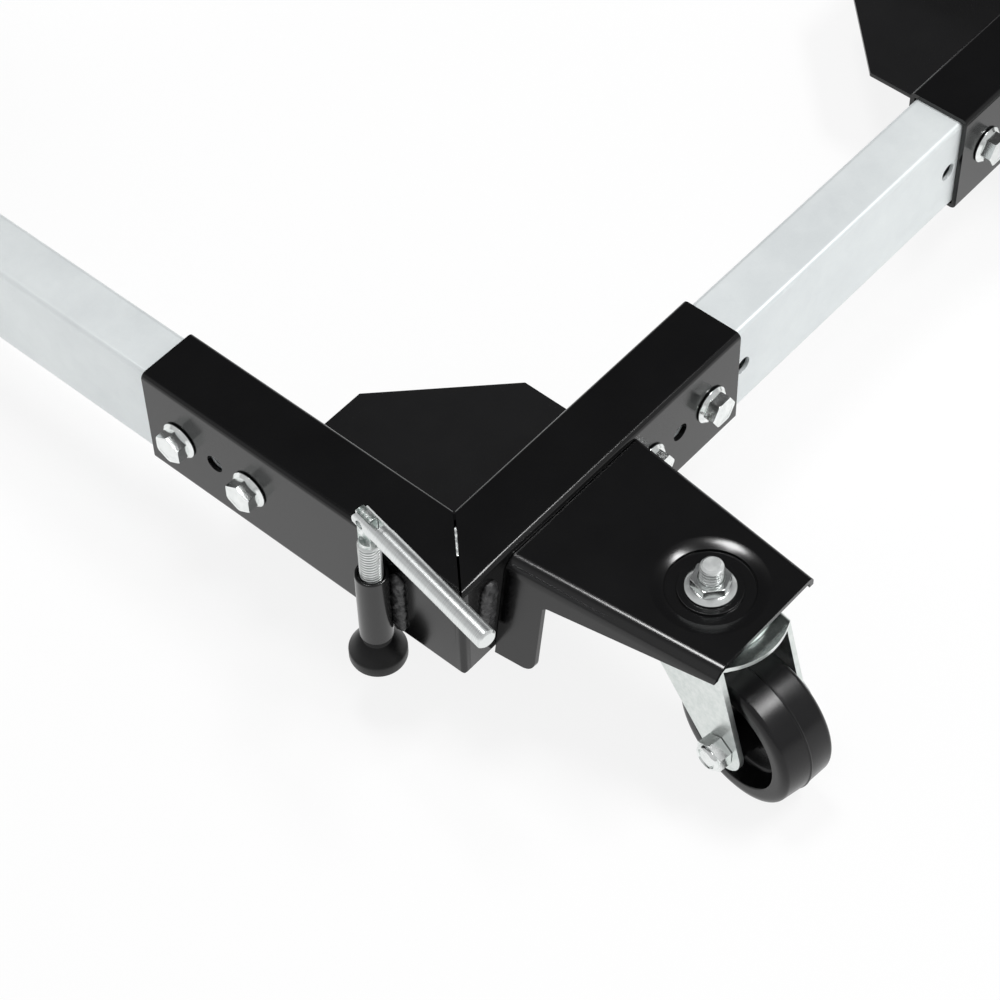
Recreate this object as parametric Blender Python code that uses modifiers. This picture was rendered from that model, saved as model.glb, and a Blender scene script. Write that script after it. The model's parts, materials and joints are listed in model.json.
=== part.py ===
# Adjustable mobile base for a workshop machine: four mitred corner brackets on swivel casters, joined by
# telescoping rails, with a screw leveller at every corner. Metres, +Z up, floor at Z = 0, base centred on Z.
import math

import bmesh
import bpy
from mathutils import Matrix, Vector

# Fit between touching pieces, and how far a cutter runs past what it cuts
FIT = 0.0003
OVERRUN = 0.002

# Points closer than SAME_POINT are one point, and cuts leave no edge shorter than SLIVER
SAME_POINT = 5e-6
SLIVER = 6e-5
FLAT_ANGLE = math.radians(0.05)
SHARP_ANGLE = math.radians(35)

# Base, measured over the outer faces of the corner brackets
BASE_LENGTH_X = 0.636
BASE_LENGTH_Y = 0.636

# Corner sleeves
SLEEVE_WIDTH = 0.038
SLEEVE_HEIGHT = 0.068
SLEEVE_LENGTH = 0.218
SLEEVE_WALL = 0.0028
SLEEVE_BEND = 0.0035
CORNER_BEND = 0.005
MITRE_SLIT = 0.0008
MITRE_SLIT_START = 0.012
SEAT_BITE = 0.0012
TUBE_BITE = 0.0003

# Seat plate between the sleeves, welded to their inner walls just above the bend
SEAT_RAISE = 0.0015
SEAT_REACH = 0.125
SEAT_CORNER_CUT = 0.063
SEAT_THICKNESS = 0.003

# Rails, and how far each end goes into its sleeve
RAIL_INSERTION = 0.088
RAIL_WALL = 0.0025
RAIL_BEND = 0.003
SPARE_HOLE_STANDOUT = 0.0095

# Rail bolts, measured back from the sleeve's open end
BOLT_INSET = 0.0235
BOLT_SPACING = 0.050
BOLT_RADIUS = 0.005
BOLT_SHANK = 0.018
BOLT_FLANGE_RADIUS = 0.011
BOLT_FLANGE_THICKNESS = 0.0025
BOLT_HEX_ACROSS = 0.016
BOLT_HEX_HEIGHT = 0.0065
FLANGE_LEDGE = 0.0005

# Caster wheel and axle
WHEEL_RADIUS = 0.040
WHEEL_WIDTH = 0.034
WHEEL_SHOULDER = 0.0035
WHEEL_RIM_DEPTH = 0.011
WHEEL_RECESS = 0.012
WHEEL_RIM_SLOPE = 0.002
HUB_RADIUS = 0.0105
HUB_OVERHANG = 0.0035
AXLE_RADIUS = 0.005
AXLE_HEX_ACROSS = 0.016
AXLE_HEAD_HEIGHT = 0.0064
AXLE_NUT_HEIGHT = 0.008
AXLE_COLLAR_HEIGHT = 0.002

# Caster fork
CASTER_TRAIL = 0.037
CASTER_SPLAY = math.radians(8.8)
WHEEL_HEADROOM = 0.0197
FORK_SHEET = 0.003
FORK_SHOULDER = 0.0006
CROWN_RADIUS = 0.038
CROWN_OFFSET = 0.0025
LEG_END_RADIUS = 0.0135
LEG_END_FRONT = math.radians(15)
LEG_END_BACK = math.radians(-135)
LEG_WAIST_DROP = 0.034
LEG_WAIST_BACK = 0.014

# Caster stem and nut
STEM_RADIUS = 0.006
STEM_ABOVE_NUT = 0.010
RACE_RADIUS = 0.032
RACE_THICKNESS = 0.007
RACE_EDGE = 0.0015
KING_PIN_RADIUS = 0.0055
RIVET_RADIUS = 0.009
RIVET_HEIGHT = 0.004
NUT_FLANGE_RADIUS = 0.013
NUT_FLANGE_THICKNESS = 0.0028
NUT_HEX_ACROSS = 0.018
NUT_HEX_HEIGHT = 0.0052

# Caster arm: its flat top is centred on the stem, and the flange next to the corner leans outwards
ARM_DROP = 0.005
ARM_SHEET = 0.003
ARM_CENTRE = 0.0855
ARM_ROOT_FLAT = 0.0905
ARM_TIP_FLAT = 0.0646
ARM_NOSE = 0.0349
ARM_BEND = 0.009
ARM_FLANGE_LEAN = math.radians(9)
ARM_FLANGE_ROOT_DEPTH = 0.0173
ARM_FLANGE_TIP_DEPTH = 0.0072
ARM_FLANGE_FILLET = 0.003
ARM_FAR_BEND = 0.004
ARM_FAR_DEPTH = 0.0065
TAB_WIDTH = 0.0236
TAB_BELOW_SLEEVE = 0.002
TAB_CORNER_RADIUS = 0.007
POCKET_DEPTH = 0.0032
POCKET_RIM_RADIUS = 0.029
POCKET_FLOOR_RADIUS = 0.0223
POCKET_PAD_RADIUS = 0.0166
POCKET_PAD_HEIGHT = 0.0015
SWIVEL_CLEARANCE = 0.008

# Leveller
TUBE_RADIUS = 0.00875
TUBE_ALONG = 0.0515
TUBE_TOP_DROP = 0.0165
TUBE_BOTTOM_RAISE = 0.002
SCREW_RADIUS = 0.006
SCREW_CHAMFER = 0.001
TANG_HEIGHT = 0.017
TANG_THICKNESS = 0.005
TANG_WIDTH = 0.0108
FOOT_RADIUS = 0.0152
FOOT_NECK_RADIUS = 0.0079
FOOT_HEIGHT = 0.0192
FOOT_NECK_HEIGHT = 0.0067
FOOT_RIM_HEIGHT = 0.0075
FOOT_SOCKET_DEPTH = 0.011
LEVER_RADIUS = 0.0055
LEVER_LENGTH = 0.092
LEVER_TAIL_RADIUS = 0.0058
LEVER_SLOT = 0.011
LEVER_CHAMFER = 0.001
LEVER_SPLAY = math.radians(10)
LEVER_STOP_MARGIN = 0.0004
PIN_RADIUS = 0.0025
PIN_STANDOUT = 0.0004

# Sides of the round pieces
WHEEL_SIDES = 24
LARGE_SIDES = 20
SMALL_SIDES = 12
BOLT_SIDES = 8
HEX_SIDES = 6
ARC_STEPS = 3

# Heights, stacked from the floor up through the caster to the top of the sleeves
axle_z = WHEEL_RADIUS
crown_under_z = axle_z + WHEEL_RADIUS + WHEEL_HEADROOM
crown_top_z = crown_under_z + FORK_SHEET
race_under_z = crown_top_z + FIT
race_top_z = race_under_z + RACE_THICKNESS
pocket_under_z = race_top_z + FIT
pocket_floor_z = pocket_under_z + ARM_SHEET
arm_top_z = pocket_floor_z + POCKET_DEPTH
sleeve_top_z = arm_top_z + ARM_DROP
sleeve_bottom_z = sleeve_top_z - SLEEVE_HEIGHT
sleeve_mid_z = sleeve_bottom_z + SLEEVE_HEIGHT / 2
nut_seat_z = pocket_floor_z + POCKET_PAD_HEIGHT + FIT
nut_top_z = nut_seat_z + NUT_FLANGE_THICKNESS + NUT_HEX_HEIGHT
stem_top_z = nut_top_z + STEM_ABOVE_NUT

# Heights of the leveller, hung on the sleeve; the foot's gap to the floor is its travel
tube_top_z = sleeve_top_z - TUBE_TOP_DROP
tube_bottom_z = sleeve_bottom_z + TUBE_BOTTOM_RAISE
foot_top_z = tube_bottom_z - FIT
foot_bottom_z = foot_top_z - FOOT_HEIGHT
pivot_z = tube_top_z + foot_bottom_z + LEVER_RADIUS + LEVER_STOP_MARGIN
screw_bottom_z = foot_top_z - FOOT_SOCKET_DEPTH + FIT
shoulder_z = pivot_z - TANG_HEIGHT

# Places in a corner's own frame: outer apex at the origin, one sleeve along +X and the other along +Y
stem_y = -(CASTER_TRAIL + WHEEL_RADIUS + SWIVEL_CLEARANCE)
arm_tip_y = stem_y - ARM_NOSE
tube_x = TUBE_BITE - TUBE_RADIUS
bolt_places = [SLEEVE_LENGTH - BOLT_INSET, SLEEVE_LENGTH - BOLT_INSET - BOLT_SPACING]
empty_hole_place = SLEEVE_LENGTH - BOLT_INSET - BOLT_SPACING / 2
leg_outer_y = WHEEL_WIDTH / 2 + HUB_OVERHANG + FIT + FORK_SHEET
leg_inner_y = leg_outer_y - FORK_SHEET


# Empty the scene, then make one collection for the parts and one for the cutters

for old in list(bpy.data.objects):
    bpy.data.objects.remove(old, do_unlink=True)

parts = bpy.data.collections.new("mobile_machine_base")
cutters = bpy.data.collections.new("cutters")
bpy.context.scene.collection.children.link(parts)
bpy.context.scene.collection.children.link(cutters)


# Materials

def material(name, colour, roughness, metallic):
    made = bpy.data.materials.new(name)
    made.use_nodes = True
    shader = made.node_tree.nodes["Principled BSDF"]
    shader.inputs["Base Color"].default_value = (*colour, 1.0)
    shader.inputs["Roughness"].default_value = roughness
    shader.inputs["Metallic"].default_value = metallic
    return made


black_paint = material("black_paint", (0.012, 0.012, 0.013), 0.32, 0.0)
zinc_rail = material("zinc_rail", (0.80, 0.84, 0.86), 0.30, 1.0)
zinc_hardware = material("zinc_hardware", (0.74, 0.76, 0.76), 0.24, 1.0)
black_rubber = material("black_rubber", (0.014, 0.014, 0.015), 0.55, 0.0)
black_wheel = material("black_wheel", (0.010, 0.010, 0.011), 0.28, 0.0)


# Shaping tools: every one returns a blank object in the cutters collection

def blank(name, mesh):
    obj = bpy.data.objects.new(name, mesh)
    obj.hide_render = True
    obj.display_type = "WIRE"
    cutters.objects.link(obj)
    return obj


def mesh_of(bm, name):
    mesh = bpy.data.meshes.new(name)
    bm.to_mesh(mesh)
    bm.free()
    return mesh


def evaluated_mesh(obj):
    bpy.context.view_layer.update()
    graph = bpy.context.evaluated_depsgraph_get()
    return bpy.data.meshes.new_from_object(obj.evaluated_get(graph))


def box(name, low, high):
    low, high = Vector(low), Vector(high)
    bm = bmesh.new()
    bmesh.ops.create_cube(bm, size=1.0)
    bmesh.ops.scale(bm, vec=high - low, verts=bm.verts)
    bmesh.ops.translate(bm, vec=(low + high) / 2, verts=bm.verts)
    return blank(name, mesh_of(bm, name))


def cone(name, base, axis, length, radius, end_radius, sides):
    bm = bmesh.new()
    bmesh.ops.create_cone(
        bm, cap_ends=True, segments=sides, radius1=radius, radius2=end_radius, depth=length)
    bmesh.ops.translate(bm, vec=(0, 0, length / 2), verts=bm.verts)
    aim = Vector((0, 0, 1)).rotation_difference(Vector(axis)).to_matrix().to_4x4()
    bmesh.ops.transform(bm, matrix=Matrix.Translation(base) @ aim, verts=bm.verts)
    return blank(name, mesh_of(bm, name))


def cylinder(name, base, axis, length, radius, sides):
    return cone(name, base, axis, length, radius, radius, sides)


def corner_radius(across, sides):
    return across / 2 / math.cos(math.pi / sides)


def hexagon(name, base, axis, height, across):
    return cylinder(name, base, axis, height, corner_radius(across, HEX_SIDES), HEX_SIDES)


def arc(centre, radius, start, stop, steps=ARC_STEPS):
    turns = [start + (stop - start) * k / steps for k in range(steps + 1)]
    return [(centre[0] + radius * math.cos(a), centre[1] + radius * math.sin(a)) for a in turns]


def prism(name, outline, low, high, frame=None):
    curve = bpy.data.curves.new(name, "CURVE")
    curve.dimensions = "2D"
    curve.fill_mode = "BOTH"
    curve.extrude = (high - low) / 2
    spline = curve.splines.new("POLY")
    spline.points.add(len(outline) - 1)
    for point, (u, v) in zip(spline.points, outline):
        point.co = (u, v, 0.0, 1.0)
    spline.use_cyclic_u = True
    drawn = blank(name + "_outline", curve)
    mesh = evaluated_mesh(drawn)
    bpy.data.objects.remove(drawn, do_unlink=True)
    bm = bmesh.new()
    bm.from_mesh(mesh)
    bmesh.ops.remove_doubles(bm, verts=bm.verts, dist=SAME_POINT)
    bmesh.ops.translate(bm, vec=(0, 0, (low + high) / 2), verts=bm.verts)
    if frame is not None:
        bmesh.ops.transform(bm, matrix=frame, verts=bm.verts)
    bmesh.ops.recalc_face_normals(bm, faces=bm.faces)
    return blank(name, mesh_of(bm, name))


def turned(name, profile, sides, closed=False):
    bm = bmesh.new()
    rim = [bm.verts.new((radius, 0.0, height)) for radius, height in profile]
    for a, b in zip(rim, rim[1:]):
        bm.edges.new((a, b))
    if closed:
        bm.edges.new((rim[-1], rim[0]))
    obj = blank(name, mesh_of(bm, name))
    screw = obj.modifiers.new("turn", "SCREW")
    screw.steps = sides
    screw.render_steps = sides
    screw.use_merge_vertices = True
    screw.merge_threshold = SAME_POINT
    return obj


def combine(target, tool, operation):
    cut = target.modifiers.new(operation.lower(), "BOOLEAN")
    cut.operation = operation
    cut.object = tool
    return target


def bevel_edges(obj, wanted, radius, segments):
    bm = bmesh.new()
    bm.from_mesh(obj.data)
    folds = [e for e in bm.edges if e.calc_face_angle(0.0) > SHARP_ANGLE]
    edges = [e for e in folds if wanted(e.verts[0].co, e.verts[1].co)]
    bmesh.ops.bevel(
        bm, geom=edges, offset=radius, offset_type="OFFSET", segments=segments, profile=0.5,
        affect="EDGES", clamp_overlap=False)
    bm.to_mesh(obj.data)
    bm.free()


def finished(obj, name):
    bm = bmesh.new()
    bm.from_mesh(evaluated_mesh(obj))
    bmesh.ops.dissolve_limit(bm, angle_limit=FLAT_ANGLE, verts=bm.verts, edges=bm.edges)
    bmesh.ops.remove_doubles(bm, verts=bm.verts, dist=SLIVER)
    bmesh.ops.dissolve_degenerate(bm, dist=SLIVER, edges=bm.edges)
    bmesh.ops.triangulate(bm, faces=bm.faces)
    mesh = mesh_of(bm, name)
    mesh.shade_smooth()
    mesh.set_sharp_from_angle(angle=SHARP_ANGLE)
    return mesh


def mirrored(mesh, name):
    other = mesh.copy()
    other.name = name
    other.transform(Matrix.Diagonal((-1, 1, 1, 1)))
    other.flip_normals()
    return other


def add_part(name, mesh, finish, parent, place, turn=(0.0, 0.0, 0.0)):
    own = mesh.copy()
    own.name = name
    own.materials.clear()
    own.materials.append(finish)
    obj = bpy.data.objects.new(name, own)
    obj.parent = parent
    obj.location = place
    obj.rotation_euler = turn
    parts.objects.link(obj)
    return obj


def add_empty(name, parent, place, turn=0.0):
    obj = bpy.data.objects.new(name, None)
    obj.empty_display_size = 0.02
    obj.parent = parent
    obj.location = place
    obj.rotation_euler = (0, 0, turn)
    parts.objects.link(obj)
    return obj


# Corner bracket: hollow mitred sleeves, seat plate and leveller tube, welded into one

def elbow(name, inset, overrun):
    near, far, end = inset, SLEEVE_WIDTH - inset, SLEEVE_LENGTH + overrun
    outline = [(near, near), (end, near), (end, far), (far, far), (far, end), (near, end)]
    return prism(name, outline, sleeve_bottom_z + inset, sleeve_top_z - inset)


def sleeve_hole(name, along, on_x_sleeve):
    base = (along, -OVERRUN, sleeve_mid_z) if on_x_sleeve else (-OVERRUN, along, sleeve_mid_z)
    axis = (0, 1, 0) if on_x_sleeve else (1, 0, 0)
    return cylinder(name, base, axis, SLEEVE_WALL + 2 * OVERRUN, BOLT_RADIUS + FIT, BOLT_SIDES)


def corner_bracket():
    outer = elbow("sleeves", 0.0, 0.0)

    def along_sleeve(a, b):
        level = abs(a.z - b.z) < SAME_POINT
        at_end = all(abs(max(p.x, p.y) - SLEEVE_LENGTH) < SAME_POINT for p in (a, b))
        return level and not at_end

    bevel_edges(outer, along_sleeve, SLEEVE_BEND, 2)
    apex_outline = [(-OVERRUN, -OVERRUN), (CORNER_BEND, -OVERRUN)]
    apex_outline += arc((CORNER_BEND, CORNER_BEND), CORNER_BEND, -math.pi / 2, -math.pi)
    apex_outline += [(-OVERRUN, CORNER_BEND)]
    apex = prism("apex_round", apex_outline, sleeve_bottom_z - OVERRUN, sleeve_top_z + OVERRUN)
    combine(outer, apex, "DIFFERENCE")
    combine(outer, elbow("sleeve_void", SLEEVE_WALL, OVERRUN), "DIFFERENCE")

    inner = SLEEVE_WIDTH - SEAT_BITE
    reach = SLEEVE_WIDTH + SEAT_REACH
    cut = reach - SEAT_CORNER_CUT
    seat_outline = [(inner, inner), (reach, inner), (reach, cut), (cut, reach), (inner, reach)]
    seat_z = sleeve_bottom_z + SEAT_RAISE
    seat = prism("seat_plate", seat_outline, seat_z, seat_z + SEAT_THICKNESS)
    combine(outer, seat, "UNION")

    tube_length = tube_top_z - tube_bottom_z
    tube = cylinder("leveller_tube", (tube_x, TUBE_ALONG, tube_bottom_z), (0, 0, 1), tube_length,
                    TUBE_RADIUS, LARGE_SIDES)
    combine(outer, tube, "UNION")
    bore = cylinder("leveller_bore", (tube_x, TUBE_ALONG, tube_bottom_z - OVERRUN), (0, 0, 1),
                    tube_length + 2 * OVERRUN, SCREW_RADIUS + FIT, SMALL_SIDES)
    combine(outer, bore, "DIFFERENCE")

    slit_end = (SLEEVE_WIDTH - SLEEVE_WALL) * math.sqrt(2) - OVERRUN
    slit = box("mitre_slit", (MITRE_SLIT_START, -MITRE_SLIT / 2, sleeve_top_z - SLEEVE_WALL - OVERRUN),
               (slit_end, MITRE_SLIT / 2, sleeve_top_z + OVERRUN))
    slit.data.transform(Matrix.Rotation(math.radians(45), 4, "Z"))
    combine(outer, slit, "DIFFERENCE")

    for along in bolt_places + [empty_hole_place]:
        for on_x_sleeve in (True, False):
            combine(outer, sleeve_hole("sleeve_hole", along, on_x_sleeve), "DIFFERENCE")
    return finished(outer, "corner_bracket")


# Caster arm: tapered pressed sheet, folded down at both sides, with a tall weld tab next to the corner

def caster_arm():
    quarter = math.pi / 2
    tab_bottom_z = sleeve_bottom_z - TAB_BELOW_SLEEVE
    drop = arm_top_z - tab_bottom_z
    lean = drop * math.tan(ARM_FLANGE_LEAN)
    near_fold = ARM_BEND * math.tan((quarter - ARM_FLANGE_LEAN) / 2)
    far_fold = ARM_FAR_BEND * math.tan(quarter / 2)
    taper = (ARM_ROOT_FLAT - ARM_TIP_FLAT) / 2 / -arm_tip_y
    root_half = ARM_ROOT_FLAT / 2 + taper * OVERRUN
    narrowing = taper * (2 * OVERRUN - arm_tip_y)
    arm = box("arm_sheet", (-root_half - near_fold, arm_tip_y - OVERRUN, tab_bottom_z),
              (root_half + far_fold, OVERRUN, arm_top_z))
    bm = bmesh.new()
    bm.from_mesh(arm.data)
    for side in (-1, 1):
        tip = [v for v in bm.verts if v.co.y < arm_tip_y / 2 and v.co.x * side > 0]
        bmesh.ops.translate(bm, vec=(-side * narrowing, 0, 0), verts=tip)
    near_low = [v for v in bm.verts if v.co.x < 0 and v.co.z < arm_top_z - drop / 2]
    bmesh.ops.translate(bm, vec=(-lean, 0, 0), verts=near_low)
    open_faces = [f for f in bm.faces if f.normal.z < -0.5 or abs(f.normal.y) > 0.5]
    bmesh.ops.delete(bm, geom=open_faces, context="FACES_ONLY")
    bm.to_mesh(arm.data)
    bm.free()

    def top_side(side):
        return lambda a, b: min(a.z, b.z) > arm_top_z - FIT and min(a.x * side, b.x * side) > 0

    bevel_edges(arm, top_side(-1), near_fold, 2 * ARC_STEPS)
    bevel_edges(arm, top_side(1), far_fold, ARC_STEPS)
    sheet = arm.modifiers.new("sheet", "SOLIDIFY")
    sheet.thickness = ARM_SHEET
    sheet.offset = -1.0
    sheet.use_even_offset = True

    near_x = -root_half - near_fold - lean - OVERRUN
    far_x = root_half + far_fold + OVERRUN
    length = box("arm_length", (near_x, arm_tip_y, tab_bottom_z - OVERRUN),
                 (far_x, -FIT, arm_top_z + OVERRUN))
    combine(arm, length, "INTERSECT")

    flange_z = arm_top_z - ARM_FLANGE_ROOT_DEPTH
    rise = math.atan2(ARM_FLANGE_ROOT_DEPTH - ARM_FLANGE_TIP_DEPTH, -arm_tip_y - TAB_WIDTH)
    low_z = tab_bottom_z - OVERRUN
    end_y = arm_tip_y - 2 * OVERRUN
    fillet_z = flange_z + ARM_FLANGE_FILLET * (math.tan(rise) - 1 / math.cos(rise))
    trim_outline = [(end_y, low_z), (-TAB_WIDTH + TAB_CORNER_RADIUS, low_z)]
    trim_outline += arc((-TAB_WIDTH + TAB_CORNER_RADIUS, tab_bottom_z + TAB_CORNER_RADIUS),
                        TAB_CORNER_RADIUS, -quarter, -2 * quarter)
    trim_outline += arc((-TAB_WIDTH - ARM_FLANGE_FILLET, fillet_z), ARM_FLANGE_FILLET, 0.0, quarter - rise)
    trim_outline += [(end_y, flange_z - (TAB_WIDTH + end_y) * math.tan(rise))]
    across = Matrix(((0, 0, 1, 0), (1, 0, 0, 0), (0, 1, 0, 0), (0, 0, 0, 1)))
    trim = prism("tab_side_trim", trim_outline, near_x, 0.0, across)
    combine(arm, trim, "DIFFERENCE")
    far_trim = box("far_side_trim", (-OVERRUN, end_y, low_z), (far_x, OVERRUN, arm_top_z - ARM_FAR_DEPTH))
    combine(arm, far_trim, "DIFFERENCE")

    dish_height = arm_top_z - ARM_SHEET / 2 - pocket_under_z
    dish = cone("pocket_dish", (0, stem_y, pocket_under_z), (0, 0, 1), dish_height,
                POCKET_FLOOR_RADIUS + ARM_SHEET, POCKET_RIM_RADIUS + ARM_SHEET, LARGE_SIDES)
    combine(arm, dish, "UNION")
    spread = (POCKET_RIM_RADIUS - POCKET_FLOOR_RADIUS) / POCKET_DEPTH
    pocket = cone("pocket", (0, stem_y, pocket_floor_z), (0, 0, 1), POCKET_DEPTH + OVERRUN,
                  POCKET_FLOOR_RADIUS, POCKET_RIM_RADIUS + spread * OVERRUN, LARGE_SIDES)
    combine(arm, pocket, "DIFFERENCE")
    pad = cylinder("nut_pad", (0, stem_y, pocket_floor_z - ARM_SHEET / 2), (0, 0, 1),
                   ARM_SHEET / 2 + POCKET_PAD_HEIGHT, POCKET_PAD_RADIUS, LARGE_SIDES)
    combine(arm, pad, "UNION")
    hole = cylinder("stem_hole", (0, stem_y, pocket_under_z - OVERRUN), (0, 0, 1),
                    ARM_SHEET + POCKET_PAD_HEIGHT + 2 * OVERRUN, STEM_RADIUS + FIT, SMALL_SIDES)
    combine(arm, hole, "DIFFERENCE")
    return finished(arm, "caster_arm")


# Caster: stem with its race, flange nut, fork, wheel and axle, about the swivel axis with the trail on +X

def caster_stem():
    rivet_top_z = crown_under_z - FIT
    profile = [
        (0.0, stem_top_z), (STEM_RADIUS - SCREW_CHAMFER, stem_top_z),
        (STEM_RADIUS, stem_top_z - SCREW_CHAMFER), (STEM_RADIUS, race_top_z),
        (RACE_RADIUS - RACE_EDGE, race_top_z), (RACE_RADIUS, race_top_z - RACE_EDGE),
        (RACE_RADIUS, race_under_z), (KING_PIN_RADIUS, race_under_z), (KING_PIN_RADIUS, rivet_top_z),
        (RIVET_RADIUS, rivet_top_z), (RIVET_RADIUS, rivet_top_z - RIVET_HEIGHT),
        (0.0, rivet_top_z - RIVET_HEIGHT)]
    return finished(turned("stem", profile, LARGE_SIDES), "caster_stem")


def stem_nut():
    ledge = corner_radius(NUT_HEX_ACROSS, HEX_SIDES) + FLANGE_LEDGE
    nut = cone("nut_flange", (0, 0, nut_seat_z), (0, 0, 1), NUT_FLANGE_THICKNESS, NUT_FLANGE_RADIUS, ledge,
               LARGE_SIDES)
    body_z = nut_seat_z + NUT_FLANGE_THICKNESS / 2
    body = hexagon("nut_hex", (0, 0, body_z), (0, 0, 1), nut_top_z - body_z, NUT_HEX_ACROSS)
    combine(nut, body, "UNION")
    bore = cylinder("nut_bore", (0, 0, nut_seat_z - OVERRUN), (0, 0, 1),
                    nut_top_z - nut_seat_z + 2 * OVERRUN, STEM_RADIUS + FIT, SMALL_SIDES)
    combine(nut, bore, "DIFFERENCE")
    return finished(nut, "stem_nut")


def caster_fork():
    chord = math.sqrt(CROWN_RADIUS ** 2 - leg_outer_y ** 2) - OVERRUN
    front = CROWN_OFFSET + chord
    back = CROWN_OFFSET - chord
    leg_top_z = crown_top_z - FORK_SHOULDER
    outline = [(back, leg_top_z), (front, leg_top_z)]
    outline += arc((CASTER_TRAIL, axle_z), LEG_END_RADIUS, LEG_END_FRONT, LEG_END_BACK, 2 * ARC_STEPS)
    outline += [(back + LEG_WAIST_BACK, crown_top_z - LEG_WAIST_DROP)]
    upright = Matrix.Rotation(math.radians(90), 4, "X")
    fork = prism("fork_legs", outline, -leg_outer_y, leg_outer_y, upright)
    gap = box("fork_gap", (back - OVERRUN, -leg_inner_y, -OVERRUN),
              (CASTER_TRAIL + LEG_END_RADIUS + OVERRUN, leg_inner_y, crown_under_z))
    combine(fork, gap, "DIFFERENCE")
    crown_z = crown_under_z + FORK_SHOULDER / 2
    crown = cylinder("crown", (CROWN_OFFSET, 0, crown_z), (0, 0, 1), crown_top_z - crown_z, CROWN_RADIUS,
                     LARGE_SIDES)
    crown_side = leg_outer_y - FORK_SHOULDER
    sides = box("crown_sides", (-2 * CROWN_RADIUS, -crown_side, crown_under_z - OVERRUN),
                (2 * CROWN_RADIUS, crown_side, crown_top_z + OVERRUN))
    combine(crown, sides, "INTERSECT")
    combine(fork, crown, "UNION")
    pin_hole = cylinder("king_pin_hole", (0, 0, crown_under_z - OVERRUN), (0, 0, 1),
                        FORK_SHEET + 2 * OVERRUN, KING_PIN_RADIUS + FIT, SMALL_SIDES)
    combine(fork, pin_hole, "DIFFERENCE")
    axle_hole = cylinder("axle_hole", (CASTER_TRAIL, -leg_outer_y - OVERRUN, axle_z), (0, 1, 0),
                         2 * (leg_outer_y + OVERRUN), AXLE_RADIUS + FIT, BOLT_SIDES)
    combine(fork, axle_hole, "DIFFERENCE")
    return finished(fork, "caster_fork")


def caster_wheel():
    half = WHEEL_WIDTH / 2
    hub_end = half + HUB_OVERHANG
    web = half - WHEEL_RECESS
    rim_inside = WHEEL_RADIUS - WHEEL_RIM_DEPTH
    bore = AXLE_RADIUS + FIT
    upper = [(bore, hub_end), (HUB_RADIUS, hub_end), (HUB_RADIUS, web), (rim_inside - WHEEL_RIM_SLOPE, web),
             (rim_inside, half)]
    corner = (WHEEL_RADIUS - WHEEL_SHOULDER, half - WHEEL_SHOULDER)
    upper += arc(corner, WHEEL_SHOULDER, math.radians(90), 0.0, 2)
    lower = [(radius, -height) for radius, height in reversed(upper)]
    wheel = turned("wheel", upper + lower, WHEEL_SIDES, closed=True)
    mesh = finished(wheel, "caster_wheel")
    across_flats = corner_radius(2.0, WHEEL_SIDES)
    flat_down = Matrix.Rotation(math.pi / WHEEL_SIDES, 4, "Z")
    upright = Matrix.Rotation(math.radians(90), 4, "X")
    mesh.transform(upright @ flat_down @ Matrix.Diagonal((across_flats, across_flats, 1, 1)))
    return mesh


def axle_bolt():
    face = leg_outer_y + FIT
    nut_end = face + AXLE_NUT_HEIGHT + AXLE_COLLAR_HEIGHT
    shank_start = face + AXLE_HEAD_HEIGHT / 2
    bolt = cylinder("axle", (0, shank_start, 0), (0, -1, 0), shank_start + nut_end, AXLE_RADIUS, BOLT_SIDES)
    head = hexagon("axle_head", (0, face, 0), (0, 1, 0), AXLE_HEAD_HEIGHT, AXLE_HEX_ACROSS)
    combine(bolt, head, "UNION")
    nut = hexagon("axle_nut", (0, -face, 0), (0, -1, 0), AXLE_NUT_HEIGHT, AXLE_HEX_ACROSS)
    combine(bolt, nut, "UNION")
    collar_length = AXLE_NUT_HEIGHT / 2 + AXLE_COLLAR_HEIGHT / 2
    collar = cylinder("axle_collar", (0, -face - AXLE_NUT_HEIGHT / 2, 0), (0, -1, 0), collar_length,
                      AXLE_HEX_ACROSS / 2 - SCREW_CHAMFER, BOLT_SIDES)
    combine(bolt, collar, "UNION")
    return finished(bolt, "axle_bolt")


# Leveller: screw and foot about the screw's axis, lever about its pin with the bar on +X

def leveller_screw():
    profile = [
        (0.0, shoulder_z), (SCREW_RADIUS - SCREW_CHAMFER, shoulder_z),
        (SCREW_RADIUS, shoulder_z - SCREW_CHAMFER), (SCREW_RADIUS, screw_bottom_z), (0.0, screw_bottom_z)]
    screw = turned("screw", profile, SMALL_SIDES)
    half = TANG_WIDTH / 2
    tang_outline = [(-half, shoulder_z - OVERRUN), (half, shoulder_z - OVERRUN)]
    tang_outline += arc((0.0, pivot_z), half, 0.0, math.pi, 2 * ARC_STEPS)
    upright = Matrix.Rotation(math.radians(90), 4, "X")
    tang = prism("tang", tang_outline, -TANG_THICKNESS / 2, TANG_THICKNESS / 2, upright)
    combine(screw, tang, "UNION")
    hole = cylinder("tang_hole", (0, -TANG_THICKNESS, pivot_z), (0, 1, 0), 2 * TANG_THICKNESS,
                    PIN_RADIUS + FIT, BOLT_SIDES)
    combine(screw, hole, "DIFFERENCE")
    return finished(screw, "leveller_screw")


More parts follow.
